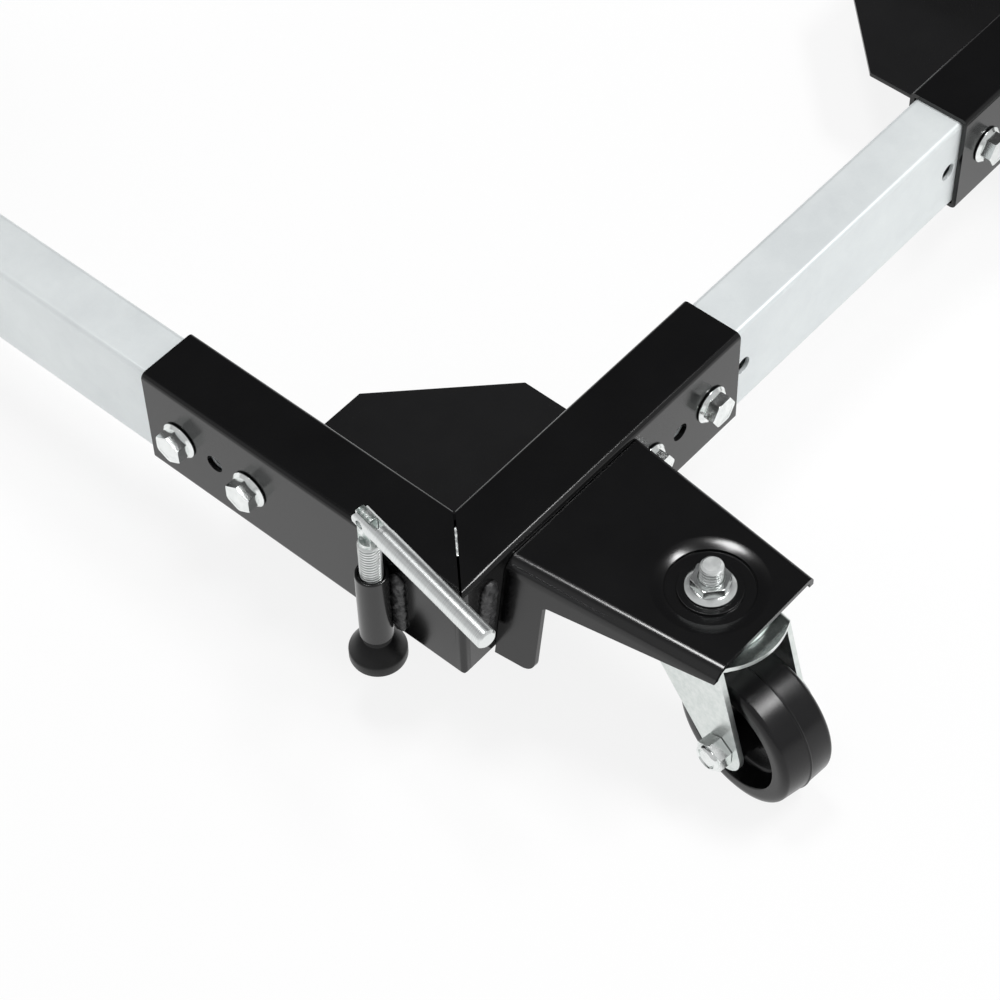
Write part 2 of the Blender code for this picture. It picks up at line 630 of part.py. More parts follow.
def leveller_lever():
    tail = LEVER_TAIL_RADIUS
    profile = [
        (0.0, LEVER_LENGTH), (LEVER_RADIUS - LEVER_CHAMFER, LEVER_LENGTH),
        (LEVER_RADIUS, LEVER_LENGTH - LEVER_CHAMFER), (LEVER_RADIUS, -tail - OVERRUN), (0.0, -tail - OVERRUN)]
    bar = blank("bar", finished(turned("bar_turned", profile, SMALL_SIDES), "bar"))
    bar.data.transform(Matrix.Rotation(math.radians(90), 4, "Y"))
    past = LEVER_LENGTH + OVERRUN
    side_outline = arc((0.0, 0.0), tail, math.pi / 2, 3 * math.pi / 2, 2 * ARC_STEPS)
    side_outline += [(past, -tail), (past, tail)]
    upright = Matrix.Rotation(math.radians(90), 4, "X")
    combine(bar, prism("lever_side", side_outline, -tail, tail, upright), "INTERSECT")
    cheek = TANG_THICKNESS / 2 + FIT
    slot = box("lever_slot", (-tail - OVERRUN, -cheek, -LEVER_RADIUS - OVERRUN),
               (LEVER_SLOT, cheek, LEVER_RADIUS + OVERRUN))
    combine(bar, slot, "DIFFERENCE")
    pin_half = LEVER_RADIUS + PIN_STANDOUT
    pin = cylinder("lever_pin", (0, -pin_half, 0), (0, 1, 0), 2 * pin_half, PIN_RADIUS, BOLT_SIDES)
    combine(bar, pin, "UNION")
    return finished(bar, "leveller_lever")


def leveller_foot():
    socket_z = foot_top_z - FOOT_SOCKET_DEPTH
    socket = SCREW_RADIUS + FIT
    neck_z = foot_top_z - FOOT_NECK_HEIGHT
    rim_z = foot_bottom_z + FOOT_RIM_HEIGHT
    flare = FOOT_RADIUS - FOOT_NECK_RADIUS
    fall = neck_z - rim_z
    bell = [(FOOT_NECK_RADIUS + flare * (1 - math.cos(a)), neck_z - fall * math.sin(a))
            for a in [math.pi / 2 * k / ARC_STEPS for k in range(ARC_STEPS)]]
    profile = [(0.0, socket_z), (socket, socket_z), (socket, foot_top_z), (FOOT_NECK_RADIUS, foot_top_z)]
    profile += bell
    profile += [(FOOT_RADIUS - SCREW_CHAMFER, rim_z), (FOOT_RADIUS, rim_z - SCREW_CHAMFER),
                (FOOT_RADIUS, foot_bottom_z + SCREW_CHAMFER), (FOOT_RADIUS - SCREW_CHAMFER, foot_bottom_z),
                (0.0, foot_bottom_z)]
    return finished(turned("foot", profile, LARGE_SIDES), "leveller_foot")


# Rail bolt: head outwards on +Z, the sleeve's face at Z = 0

def rail_bolt():
    ledge = corner_radius(BOLT_HEX_ACROSS, HEX_SIDES) + FLANGE_LEDGE
    bolt = cone("bolt_flange", (0, 0, FIT), (0, 0, 1), BOLT_FLANGE_THICKNESS, BOLT_FLANGE_RADIUS, ledge,
                SMALL_SIDES)
    flange_mid = FIT + BOLT_FLANGE_THICKNESS / 2
    head_top = FIT + BOLT_FLANGE_THICKNESS + BOLT_HEX_HEIGHT
    head = hexagon("bolt_hex", (0, 0, flange_mid), (0, 0, 1), head_top - flange_mid, BOLT_HEX_ACROSS)
    combine(bolt, head, "UNION")
    shank = cylinder("bolt_shank", (0, 0, -BOLT_SHANK), (0, 0, 1), BOLT_SHANK + flange_mid, BOLT_RADIUS,
                     BOLT_SIDES)
    combine(bolt, shank, "UNION")
    return finished(bolt, "rail_bolt")


# Rail: hollow tube along +X, its outer face on -Y, with holes for the bolts and a spare one past each sleeve

def rail(base_length, spare_holes):
    half = base_length / 2 - SLEEVE_LENGTH + RAIL_INSERTION
    high = SLEEVE_WIDTH / 2 - SLEEVE_WALL - FIT
    tall = SLEEVE_HEIGHT / 2 - SLEEVE_WALL - FIT
    tube = box("rail_tube", (-half, -high, -tall), (half, high, tall))

    def lengthwise(a, b):
        return abs(a.x - b.x) > half

    bevel_edges(tube, lengthwise, RAIL_BEND, 2)
    void = box("rail_void", (-half - OVERRUN, -high + RAIL_WALL, -tall + RAIL_WALL),
               (half + OVERRUN, high - RAIL_WALL, tall - RAIL_WALL))
    combine(tube, void, "DIFFERENCE")
    places = [base_length / 2 - along for along in bolt_places]
    if spare_holes:
        places.append(base_length / 2 - SLEEVE_LENGTH - SPARE_HOLE_STANDOUT)
    for along in places:
        for end in (-1, 1):
            hole = cylinder("rail_hole", (end * along, -high - OVERRUN, 0), (0, 1, 0),
                            RAIL_WALL + 2 * OVERRUN, BOLT_RADIUS + FIT, BOLT_SIDES)
            combine(tube, hole, "DIFFERENCE")
    return finished(tube, "rail")


# Build every shape once

bracket_mesh = corner_bracket()
bracket_meshes = {1: bracket_mesh, -1: mirrored(bracket_mesh, "corner_bracket_mirrored")}
arm_mesh = caster_arm()
arm_meshes = {1: arm_mesh, -1: mirrored(arm_mesh, "caster_arm_mirrored")}
stem_mesh = caster_stem()
nut_mesh = stem_nut()
fork_mesh = caster_fork()
wheel_mesh = caster_wheel()
axle_mesh = axle_bolt()
screw_mesh = leveller_screw()
lever_mesh = leveller_lever()
foot_mesh = leveller_foot()
bolt_mesh = rail_bolt()

# Rails: each lies in the middle of its pair of sleeves, outer face outwards

rail_mesh_x = rail(BASE_LENGTH_X, True)
rail_mesh_y = rail(BASE_LENGTH_Y, False)
rail_out_x = BASE_LENGTH_X / 2 - SLEEVE_WIDTH / 2
rail_out_y = BASE_LENGTH_Y / 2 - SLEEVE_WIDTH / 2
add_part("front_rail", rail_mesh_x, zinc_rail, None, (0, -rail_out_y, sleeve_mid_z))
add_part("rear_rail", rail_mesh_x, zinc_rail, None, (0, rail_out_y, sleeve_mid_z), (0, 0, math.pi))
add_part("left_rail", rail_mesh_y, zinc_rail, None, (-rail_out_x, 0, sleeve_mid_z), (0, 0, -math.pi / 2))
add_part("right_rail", rail_mesh_y, zinc_rail, None, (rail_out_x, 0, sleeve_mid_z), (0, 0, math.pi / 2))

# Corners: front left and rear right share one hand, the other two are its mirror image

corners = {
    "front_left": (1, 0.0), "front_right": (-1, 0.0), "rear_left": (-1, math.pi), "rear_right": (1, math.pi)}

for corner, (hand, turn) in corners.items():
    facing = math.cos(turn)
    apex = (-hand * facing * BASE_LENGTH_X / 2, -facing * BASE_LENGTH_Y / 2, 0)
    home = add_empty(corner + "_corner", None, apex, turn)
    add_part(corner + "_corner_bracket", bracket_meshes[hand], black_paint, home, (0, 0, 0))
    add_part(corner + "_caster_arm", arm_meshes[hand], black_paint, home, (hand * ARM_CENTRE, 0, 0))

    stem_place = (hand * ARM_CENTRE, stem_y, 0)
    add_part(corner + "_caster_stem", stem_mesh, zinc_hardware, home, stem_place)
    add_part(corner + "_stem_nut", nut_mesh, zinc_hardware, home, stem_place)
    swivel = add_empty(corner + "_swivel", home, stem_place, -math.pi / 2 - hand * CASTER_SPLAY)
    add_part(corner + "_caster_fork", fork_mesh, zinc_hardware, swivel, (0, 0, 0))
    add_part(corner + "_axle_bolt", axle_mesh, zinc_hardware, swivel, (CASTER_TRAIL, 0, axle_z))
    add_part(corner + "_caster_wheel", wheel_mesh, black_wheel, swivel, (CASTER_TRAIL, 0, axle_z))

    screw_place = (hand * tube_x, TUBE_ALONG, 0)
    lever_place = (hand * tube_x, TUBE_ALONG, pivot_z)
    lever_turn = (0, 0, -math.pi / 2 - hand * LEVER_SPLAY)
    add_part(corner + "_leveller_foot", foot_mesh, black_rubber, home, screw_place)
    add_part(corner + "_leveller_screw", screw_mesh, zinc_hardware, home, screw_place, lever_turn)
    add_part(corner + "_leveller_lever", lever_mesh, zinc_hardware, home, lever_place, lever_turn)

    quarter = math.pi / 2
    for number, along in enumerate(bolt_places, 1):
        add_part(f"{corner}_end_rail_bolt_{number}", bolt_mesh, zinc_hardware, home,
                 (hand * along, 0, sleeve_mid_z), (quarter, 0, 0))
        add_part(f"{corner}_side_rail_bolt_{number}", bolt_mesh, zinc_hardware, home,
                 (0, along, sleeve_mid_z), (0, -hand * quarter, 0))
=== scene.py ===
import json
import math

import bmesh
import bpy
from mathutils import Matrix, Vector


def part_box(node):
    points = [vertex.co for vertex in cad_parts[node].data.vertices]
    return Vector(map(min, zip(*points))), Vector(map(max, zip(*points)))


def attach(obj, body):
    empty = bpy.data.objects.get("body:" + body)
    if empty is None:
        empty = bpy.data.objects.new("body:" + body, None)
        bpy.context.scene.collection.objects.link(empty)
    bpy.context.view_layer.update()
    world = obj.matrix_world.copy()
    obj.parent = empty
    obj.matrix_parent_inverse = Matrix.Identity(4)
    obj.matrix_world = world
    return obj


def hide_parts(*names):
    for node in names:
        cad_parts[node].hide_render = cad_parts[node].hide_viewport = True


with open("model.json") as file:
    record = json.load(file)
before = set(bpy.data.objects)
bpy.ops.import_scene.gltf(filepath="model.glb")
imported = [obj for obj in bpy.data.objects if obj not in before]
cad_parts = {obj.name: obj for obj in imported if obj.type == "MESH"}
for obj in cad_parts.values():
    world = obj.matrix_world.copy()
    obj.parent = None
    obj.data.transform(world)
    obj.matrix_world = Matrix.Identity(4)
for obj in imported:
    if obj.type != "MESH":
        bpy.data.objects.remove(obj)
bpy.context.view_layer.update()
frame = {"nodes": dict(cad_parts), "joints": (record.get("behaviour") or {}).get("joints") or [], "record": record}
joints = {joint["name"]: joint for joint in frame["joints"]}
scene = bpy.context.scene
scene.view_settings.view_transform = "Standard"
print("frame loaded with", len(frame["nodes"]), "nodes")

quarterTurn = math.radians(90)
nearly = 1e-4  # how close a part lies to a place by which it is picked
past = 0.002  # how far a cutter runs past what it cuts


# Modelling helpers: each works on one piece, as by hand

def pick(piece):
    bpy.ops.object.select_all(action="DESELECT")
    piece.select_set(True)
    bpy.context.view_layer.objects.active = piece


def addNew(name, primitive, scale=(1, 1, 1), **settings):  # the new piece has its place in its mesh
    bpy.ops.object.select_all(action="DESELECT")
    primitive(**settings)
    piece = bpy.context.active_object
    piece.name = name
    piece.scale = scale
    bpy.ops.object.transform_apply(location=True, rotation=True, scale=True)
    return piece


def addBlock(name, low, high, turn=0.0):
    low, high = Vector(low), Vector(high)
    return addNew(name, bpy.ops.mesh.primitive_cube_add, high - low,
                  size=1, location=(low + high) / 2, rotation=(0, 0, turn))


def addRod(name, start, end, radius, sides=32):
    start, end = Vector(start), Vector(end)
    aim = (end - start).to_track_quat("Z", "Y").to_euler()
    return addNew(name, bpy.ops.mesh.primitive_cylinder_add, vertices=sides, radius=radius,
                  depth=(end - start).length, location=(start + end) / 2, rotation=aim)


def choose(piece, kind, wanted=lambda part: True):  # opens it for editing with the wanted parts selected
    pick(piece)
    bpy.ops.object.mode_set(mode="EDIT")
    bpy.ops.mesh.select_mode(type=kind)
    bpy.ops.mesh.select_all(action="DESELECT")
    mesh = bmesh.from_edit_mesh(piece.data)
    parts = {"VERT": mesh.verts, "EDGE": mesh.edges, "FACE": mesh.faces}[kind]
    for part in parts:
        if wanted(part):
            part.select_set(True)
    mesh.select_flush_mode()
    bmesh.update_edit_mesh(piece.data)


def done():
    bpy.ops.object.mode_set(mode="OBJECT")


def push(x, y, z):  # extrudes what is selected
    bpy.ops.mesh.extrude_region_move(TRANSFORM_OT_translate={"value": (x, y, z)})


def pull(piece, kind, wanted, way):
    choose(piece, kind, wanted)
    push(*way)
    done()


def shift(piece, wanted, way):
    choose(piece, "VERT", wanted)
    bpy.ops.transform.translate(value=way)
    done()


def middleOf(edge):
    return (edge.verts[0].co + edge.verts[1].co) / 2


def isFold(edge, least=25):
    return edge.calc_face_angle(0.0) > math.radians(least)


def roundEdges(piece, wanted, radius, segments):
    choose(piece, "EDGE", wanted)
    bpy.ops.mesh.bevel(offset=radius, offset_type="OFFSET", segments=segments, profile=0.5,
                       affect="EDGES", clamp_overlap=False)
    done()


def dropFaces(piece, wanted):
    choose(piece, "FACE", wanted)
    bpy.ops.mesh.delete(type="ONLY_FACE")
    done()


def faceOutwards(piece):
    choose(piece, "FACE")
    bpy.ops.mesh.normals_make_consistent(inside=False)
    done()


def modify(piece, kind, **settings):
    pick(piece)
    modifier = piece.modifiers.new(kind.lower(), kind)
    for name, value in settings.items():
        setattr(modifier, name, value)
    bpy.ops.object.modifier_apply(modifier=modifier.name)


def combine(piece, tool, operation):
    modify(piece, "BOOLEAN", operation=operation, object=tool, solver="EXACT")
    bpy.data.objects.remove(tool, do_unlink=True)
    return piece


def cut(piece, tool):
    return combine(piece, tool, "DIFFERENCE")


def unite(piece, tool):
    return combine(piece, tool, "UNION")


def thicken(piece, sheet):  # the wall grows inwards
    modify(piece, "SOLIDIFY", thickness=sheet, offset=-1.0, use_even_offset=True, use_quality_normals=True)


def arcPoints(centre, radius, start, stop, steps):  # angles in degrees
    turns = [math.radians(start + (stop - start) * k / steps) for k in range(steps + 1)]
    return [(centre[0] + radius * math.cos(a), centre[1] + radius * math.sin(a)) for a in turns]


def turnPiece(name, profile, sides, hollow=False):  # (radius, height) steps about Z
    radius, height = profile[0]
    piece = addNew(name, bpy.ops.mesh.primitive_circle_add, vertices=sides, radius=radius,
                   location=(0, 0, height), fill_type="NOTHING" if hollow else "NGON")
    bpy.ops.object.mode_set(mode="EDIT")
    bpy.ops.mesh.select_all(action="SELECT")
    for (lastRadius, lastHeight), (radius, height) in zip(profile, profile[1:]):
        push(0, 0, height - lastHeight)
        scale = radius / lastRadius
        bpy.ops.transform.resize(value=(scale, scale, 1), center_override=(0, 0, height))
    if hollow:
        bpy.ops.mesh.select_mode(type="EDGE")
        bpy.ops.mesh.select_all(action="DESELECT")
        bpy.ops.mesh.select_non_manifold()
        bpy.ops.mesh.bridge_edge_loops()
    done()
    faceOutwards(piece)
    return piece


def rollTube(name, sides, rings, shape):  # a grid rolled up and closed; shape(turn, along) gives each point
    piece = addNew(name, bpy.ops.mesh.primitive_grid_add, x_subdivisions=sides, y_subdivisions=rings, size=1)
    for vertex in piece.data.vertices:
        vertex.co = shape((vertex.co.x + 0.5) * math.tau, vertex.co.y + 0.5)
    choose(piece, "VERT")
    bpy.ops.mesh.remove_doubles(threshold=1e-6)
    bpy.ops.mesh.select_all(action="SELECT")
    bpy.ops.mesh.fill_holes(sides=0)
    done()
    faceOutwards(piece)
    return piece


def move(piece, matrix):
    piece.data.transform(matrix)
    return piece


def smooth(piece, angle=35):
    pick(piece)
    bpy.ops.object.shade_smooth_by_angle(angle=math.radians(angle))
    return piece


def softenEdges(piece, width):
    modify(piece, "BEVEL", width=width, segments=2, limit_method="ANGLE", angle_limit=math.radians(40),
           use_clamp_overlap=True)
    return smooth(piece)


def mark(piece, name, value):  # a number at each point, for the finish to read
    numbers = piece.data.attributes.new(name, "FLOAT", "POINT").data
    numbers.foreach_set("value", [value(vertex.co) for vertex in piece.data.vertices])


def at(x, y, z):
    return Matrix.Translation((x, y, z))


def turned(angle, axis):
    return Matrix.Rotation(angle, 4, axis)


# Places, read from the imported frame

cornerHands = {
    "front_left": (1, 0.0), "front_right": (-1, 0.0), "rear_left": (-1, math.pi),
    "rear_right": (1, math.pi)}

sleeve = dict(
    width=0.038, length=0.218, wall=0.0028, bend=0.0035, bendSteps=6, cornerBend=0.005, mitreGap=0.0012,
    mitrePast=0.003, edgeRound=0.0003, holeRadius=0.0053, holeDepth=0.006,
    holePlaces=(0.1945, 0.1695, 0.1445))


def middle(node):
    low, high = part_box(node)
    return (low + high) / 2


def cornerFrame(corner):  # outer corner at the origin, one sleeve on +X and the other on +Y
    hand, turn = cornerHands[corner]
    end, side = corner.split("_")
    half = sleeve["width"] / 2
    x = middle(side + "_rail").x
    y = middle(end + "_rail").y
    apex = Vector((x + math.copysign(half, x), y + math.copysign(half, y), 0))
    return Matrix.Translation(apex) @ turned(turn, "Z") @ Matrix.Diagonal((hand, 1, 1, 1))


def casterFrame(corner):  # stem's axis at the origin, trail on +X
    stem = Vector(joints[corner + "_swivel"]["pos_m"])
    trail = middle(corner + "_caster_wheel") - stem
    turn = math.atan2(trail.y, trail.x)
    return at(stem.x, stem.y, 0) @ turned(turn, "Z")


def levellerFrame(corner):  # screw's axis at the origin, lever bar on +X
    fold = joints[corner + "_lever_fold"]
    pin = fold["pos_m"]
    turn = math.atan2(fold["axis"][0], -fold["axis"][1])
    return at(pin[0], pin[1], 0) @ turned(turn, "Z")


# The four corners are alike, so sizes are read at the front left one
sample = "front_left"
toCorner = cornerFrame(sample).inverted()
toCaster = casterFrame(sample).inverted()

sleeveLow, sleeveHigh = (corner.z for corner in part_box(sample + "_corner_bracket"))
railHeight = middle("front_rail").z
seatTop = next(m["pos_m"][2] for m in frame["record"]["mounts"] if m["name"] == sample + "_seat")
pin = Vector(joints[sample + "_lever_fold"]["pos_m"])
screwAxis = toCorner @ pin
armLow, armHigh = (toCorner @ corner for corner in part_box(sample + "_caster_arm"))
stemAxis = toCorner @ Vector(joints[sample + "_swivel"]["pos_m"])
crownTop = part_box(sample + "_caster_fork")[1].z
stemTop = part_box(sample + "_caster_stem")[1].z
nutLow, nutHigh = (corner.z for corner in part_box(sample + "_stem_nut"))
footLow, footHigh = (corner.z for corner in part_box(sample + "_leveller_foot"))
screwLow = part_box(sample + "_leveller_screw")[0].z
wheelAxis = toCaster @ middle(sample + "_caster_wheel")
wheelRadius = wheelAxis.z


# Shader sums: a wrapped socket takes part in Python expressions

class Wire:
    def __init__(self, tree, socket=None):
        self.tree = tree
        self.socket = socket

    def node(self, kind, settings=None, sockets=None, output=0):
        made = self.tree.nodes.new("ShaderNode" + kind)
        for name, value in (settings or {}).items():
            setattr(made, name, value)
        for name, value in (sockets or {}).items():
            if isinstance(value, Wire):
                self.tree.links.new(value.socket, made.inputs[name])
            else:
                made.inputs[name].default_value = value
        return Wire(self.tree, made.outputs[output] if made.outputs else None)

    def maths(self, operation, first, second):
        return self.node("Math", {"operation": operation}, {0: first, 1: second})

    def __add__(self, other):
        return self.maths("ADD", self, other)

    def __sub__(self, other):
        return self.maths("SUBTRACT", self, other)

    def __rsub__(self, other):
        return self.maths("SUBTRACT", other, self)

    def __mul__(self, other):
        return self.maths("MULTIPLY", self, other)

    __radd__ = __add__
    __rmul__ = __mul__

    def clamped(self, low, high):  # stretches low..high to 0..1
        return self.node("MapRange", {"clamp": True}, {"Value": self, "From Min": low, "From Max": high})

    def mix(self, first, second):  # colour mix with this wire as the factor
        return self.node("Mix", {"data_type": "RGBA"}, {0: self, 6: first, 7: second}, 2)


def newFinish(name):
    finish = bpy.data.materials.new(name)
    finish.use_nodes = True
    finish.node_tree.nodes.clear()
    return finish, Wire(finish.node_tree)


def newSurface(name):  # a finish with the coordinates that its patterns follow
    finish, wire = newFinish(name)
    return finish, wire, wire.node("TexCoord", output="Object")


def closeFinish(wire, sockets):
    shader = wire.node("BsdfPrincipled", {}, sockets)
    wire.node("OutputMaterial", {}, {"Surface": shader})


def noise(wire, where, scale, detail=2.0, roughness=0.5):
    sockets = {"Vector": where, "Scale": scale, "Detail": detail, "Roughness": roughness}
    return wire.node("TexNoise", {}, sockets)


def bump(wire, height, strength, distance):
    return wire.node("Bump", {}, {"Height": height, "Strength": strength, "Distance": distance})


blackPaint = dict(
    dark=(0.0026, 0.0026, 0.0028, 1), pale=(0.0055, 0.0055, 0.0057, 1), roughness=0.17, spread=0.06,
    gloss=0.42, cloud=(26.0, 4.0, 0.6), cloudShare=0.8, dust=(1674.0, 1.0), dustFrom=(0.66, 0.78),
    dustShare=0.25, peel=620.0, bump=(0.04, 0.0002))
glossPaint = dict(
    blackPaint, dark=(0.0018, 0.0018, 0.0020, 1), pale=(0.0036, 0.0036, 0.0038, 1), roughness=0.18,
    gloss=0.60, bump=(0.02, 0.0002))
# painted light: the seat plate's black paint is made lighter than on the sleeves
seatPaintLit = dict(blackPaint, dark=(0.0080, 0.0080, 0.0083, 1), pale=(0.0150, 0.0150, 0.0154, 1))


def makeBlackPaint(name, s):  # semi-gloss powder coat with a faint orange peel
    finish, wire, where = newSurface(name)
    cloud = noise(wire, where, *s["cloud"])
    dust = noise(wire, where, *s["dust"]).clamped(*s["dustFrom"])
    closeFinish(wire, {
        "Base Color": (cloud * s["cloudShare"] + dust * s["dustShare"]).mix(s["dark"], s["pale"]),
        "Roughness": s["roughness"] + s["spread"] * (cloud - 0.5),
        "IOR": 1.5,
        "Specular IOR Level": s["gloss"],
        "Normal": bump(wire, noise(wire, where, s["peel"]), *s["bump"])})
    return finish


zincRail = dict(
    dark=(0.76, 0.80, 0.81, 1), pale=(0.88, 0.92, 0.92, 1), roughness=0.46, spread=0.10, grainSpread=0.06,
    metal=0.44, cloud=(18.0, 5.0, 0.62), patches=(0.32, 0.68), spangle=160.0, grain=900.0,
    shares=(0.6, 0.15, 0.25), bump=(0.08, 0.0001))


def makeZincRail(name, s):  # pale bluish zinc with a faint mottled bloom
    finish, wire, where = newSurface(name)
    cloud = noise(wire, where, *s["cloud"])
    spangle = wire.node("TexVoronoi", {"feature": "F1"}, {"Vector": where, "Scale": s["spangle"]}, "Color")
    flake = wire.node("RGBToBW", {}, {"Color": spangle})
    grain = noise(wire, where, s["grain"])
    cloudShare, flakeShare, grainShare = s["shares"]
    shade = cloud.clamped(*s["patches"]) * cloudShare + flake * flakeShare + grain * grainShare
    closeFinish(wire, {
        "Base Color": shade.mix(s["dark"], s["pale"]),
        "Metallic": s["metal"],
        "Roughness": s["roughness"] + s["spread"] * (cloud - 0.5) + s["grainSpread"] * (grain - 0.5),
        "Normal": bump(wire, grain, *s["bump"])})
    return finish


turnedSteel = dict(
    dark=(0.66, 0.69, 0.69, 1), pale=(0.96, 0.98, 0.97, 1), roughness=0.33, lineSpread=0.06,
    stainSpread=0.10, lines=(1900.0, 3.0), bands=(260.0, 2.0), stain=(90.0, 4.0, 0.6), lineRange=(0.3, 0.7),
    shares=(0.55, 0.25, 0.2), bump=(0.01, 0.0001))


def makeTurnedSteel(name, s):  # fine lathe lines round the bar
    finish, wire, where = newSurface(name)
    along = wire.node("Attribute", {"attribute_name": "along"}, output="Fac")

    def rings(scale, detail):
        sockets = {"W": along, "Scale": scale, "Detail": detail}
        return wire.node("TexNoise", {"noise_dimensions": "1D"}, sockets)

    lines = rings(*s["lines"])
    stain = noise(wire, where, *s["stain"])
    lineShare, bandShare, stainShare = s["shares"]
    bright = lines.clamped(*s["lineRange"])
    shade = bright * lineShare + rings(*s["bands"]) * bandShare + stain * stainShare
    closeFinish(wire, {
        "Base Color": shade.mix(s["dark"], s["pale"]),
        "Metallic": 1.0,
        "Roughness": s["roughness"] + s["lineSpread"] * (lines - 0.5) + s["stainSpread"] * (stain - 0.5),
        "Normal": bump(wire, lines, *s["bump"])})
    return finish


# The other finishes are patches of two tones under a fine grain
plainFinish = dict(metal=0.0, gloss=0.5, patches=(0.0, 1.0), grainShare=0.0, lumpShare=0.0)
zincBolt = dict(
    plainFinish, dark=(0.76, 0.79, 0.78, 1), pale=(0.97, 0.99, 0.98, 1), metal=1.0, roughness=0.19,
    spread=0.14, cloud=(160.0, 4.0, 0.6), patches=(0.34, 0.66), grain=1500.0, grainShare=0.3,
    bump=(0.12, 0.0001))
threadZinc = dict(zincBolt, roughness=0.36, groove=(0.10, 0.11, 0.11, 1))  # painted shade: the thread's roots are darkened in colour
forkZinc = dict(  # painted shade: the fork's upward faces, the crown's top, are darkened in colour
    zincBolt, dark=(0.66, 0.71, 0.69, 1), pale=(0.86, 0.89, 0.87, 1), roughness=0.30, spread=0.08,
    cloud=(260.0, 4.0, 0.6), grain=900.0, shadedTopColour=(0.17, 0.20, 0.19, 1), shadedTopFrom=(0.75, 0.97),
    shadedTopGrain=0.4)
milledZinc = dict(  # sawn flat under a greenish passivation
    plainFinish, dark=(0.42, 0.50, 0.47, 1), pale=(0.90, 0.92, 0.91, 1), metal=1.0, roughness=0.32,
    spread=0.2, cloud=(320.0, 4.0, 0.6), patches=(0.38, 0.60), grain=1600.0, bump=(0.25, 0.0002))
footRubber = dict(
    plainFinish, dark=(0.003, 0.003, 0.0032, 1), pale=(0.010, 0.010, 0.0105, 1), roughness=0.36,
    spread=0.22, gloss=0.30, cloud=(140.0, 4.0, 0.65), grain=1400.0, lumpShare=0.6, bump=(0.12, 0.0003))
wheelPlastic = dict(  # moulded tread with a soft gloss
    plainFinish, dark=(0.003, 0.003, 0.0034, 1), pale=(0.007, 0.0068, 0.0074, 1), roughness=0.25,
    spread=0.16, gloss=0.36, cloud=(60.0, 5.0, 0.6), grain=1100.0, bump=(0.05, 0.0002))
# painted highlight: the black-painted beads get lighter grey tones than the black paint, for the sheen on their
# lumps
weldPaintWithSheen = dict(
    plainFinish, dark=(0.010, 0.010, 0.0105, 1), pale=(0.066, 0.066, 0.067, 1), roughness=0.36, spread=0.3,
    cloud=(420.0, 4.0, 0.7), patches=(0.3, 0.7), grain=1500.0, lumpShare=1.0, bump=(0.6, 0.0008))


def makePatchy(name, s):
    finish, wire, where = newSurface(name)
    cloud = noise(wire, where, *s["cloud"])
    grain = noise(wire, where, s["grain"])
    shade = cloud.clamped(*s["patches"]) * (1 - s["grainShare"]) + grain * s["grainShare"]
    colour = shade.mix(s["dark"], s["pale"])
    # painted shade: the thread's roots are darkened by the groove depth that makeThread marks
    if "groove" in s:
        depth = wire.node("Attribute", {"attribute_name": "groove"}, output="Fac")
        colour = depth.mix(colour, s["groove"])
    # painted shade: faces that look upwards, such as the fork's crown, are darkened in colour
    if "shadedTopColour" in s:
        normal = wire.node("NewGeometry", output="Normal")
        upwards = wire.node("SeparateXYZ", {}, {"Vector": normal}, "Z").clamped(*s["shadedTopFrom"])
        share = upwards * (1 - s["shadedTopGrain"] + s["shadedTopGrain"] * grain)
        colour = share.mix(colour, s["shadedTopColour"])
    closeFinish(wire, {
        "Base Color": colour,
        "Metallic": s["metal"],
        "Roughness": s["roughness"] + s["spread"] * (cloud - 0.5),
        "Specular IOR Level": s["gloss"],
        "Normal": bump(wire, cloud * s["lumpShare"] + grain * (1 - s["lumpShare"]), *s["bump"])})
    return finish


finishes = {  # each with the material slot that it stands for
    "paint": (makeBlackPaint("black paint", blackPaint), "black_paint"),
    "gloss": (makeBlackPaint("glossy black paint", glossPaint), "black_paint"),
    "seat": (makeBlackPaint("seat black paint with painted light", seatPaintLit), "black_paint"),
    "weld": (makePatchy("painted weld with painted sheen", weldPaintWithSheen), "black_paint"),
    "rail": (makeZincRail("zinc plated rail", zincRail), "zinc_rail"),
    "bolt": (makePatchy("zinc plated steel", zincBolt), "zinc_hardware"),
    "fork": (makePatchy("zinc plated sheet", forkZinc), "zinc_hardware"),
    "thread": (makePatchy("zinc plated thread", threadZinc), "zinc_hardware"),
    "milled": (makePatchy("milled zinc", milledZinc), "zinc_hardware"),
    "bar": (makeTurnedSteel("turned bar steel", turnedSteel), "zinc_hardware"),
    "foot": (makePatchy("black foot rubber", footRubber), "black_rubber"),
    "wheel": (makePatchy("black wheel plastic", wheelPlastic), "black_wheel")}
print("finishes ready:", len(finishes))


# Corner bracket

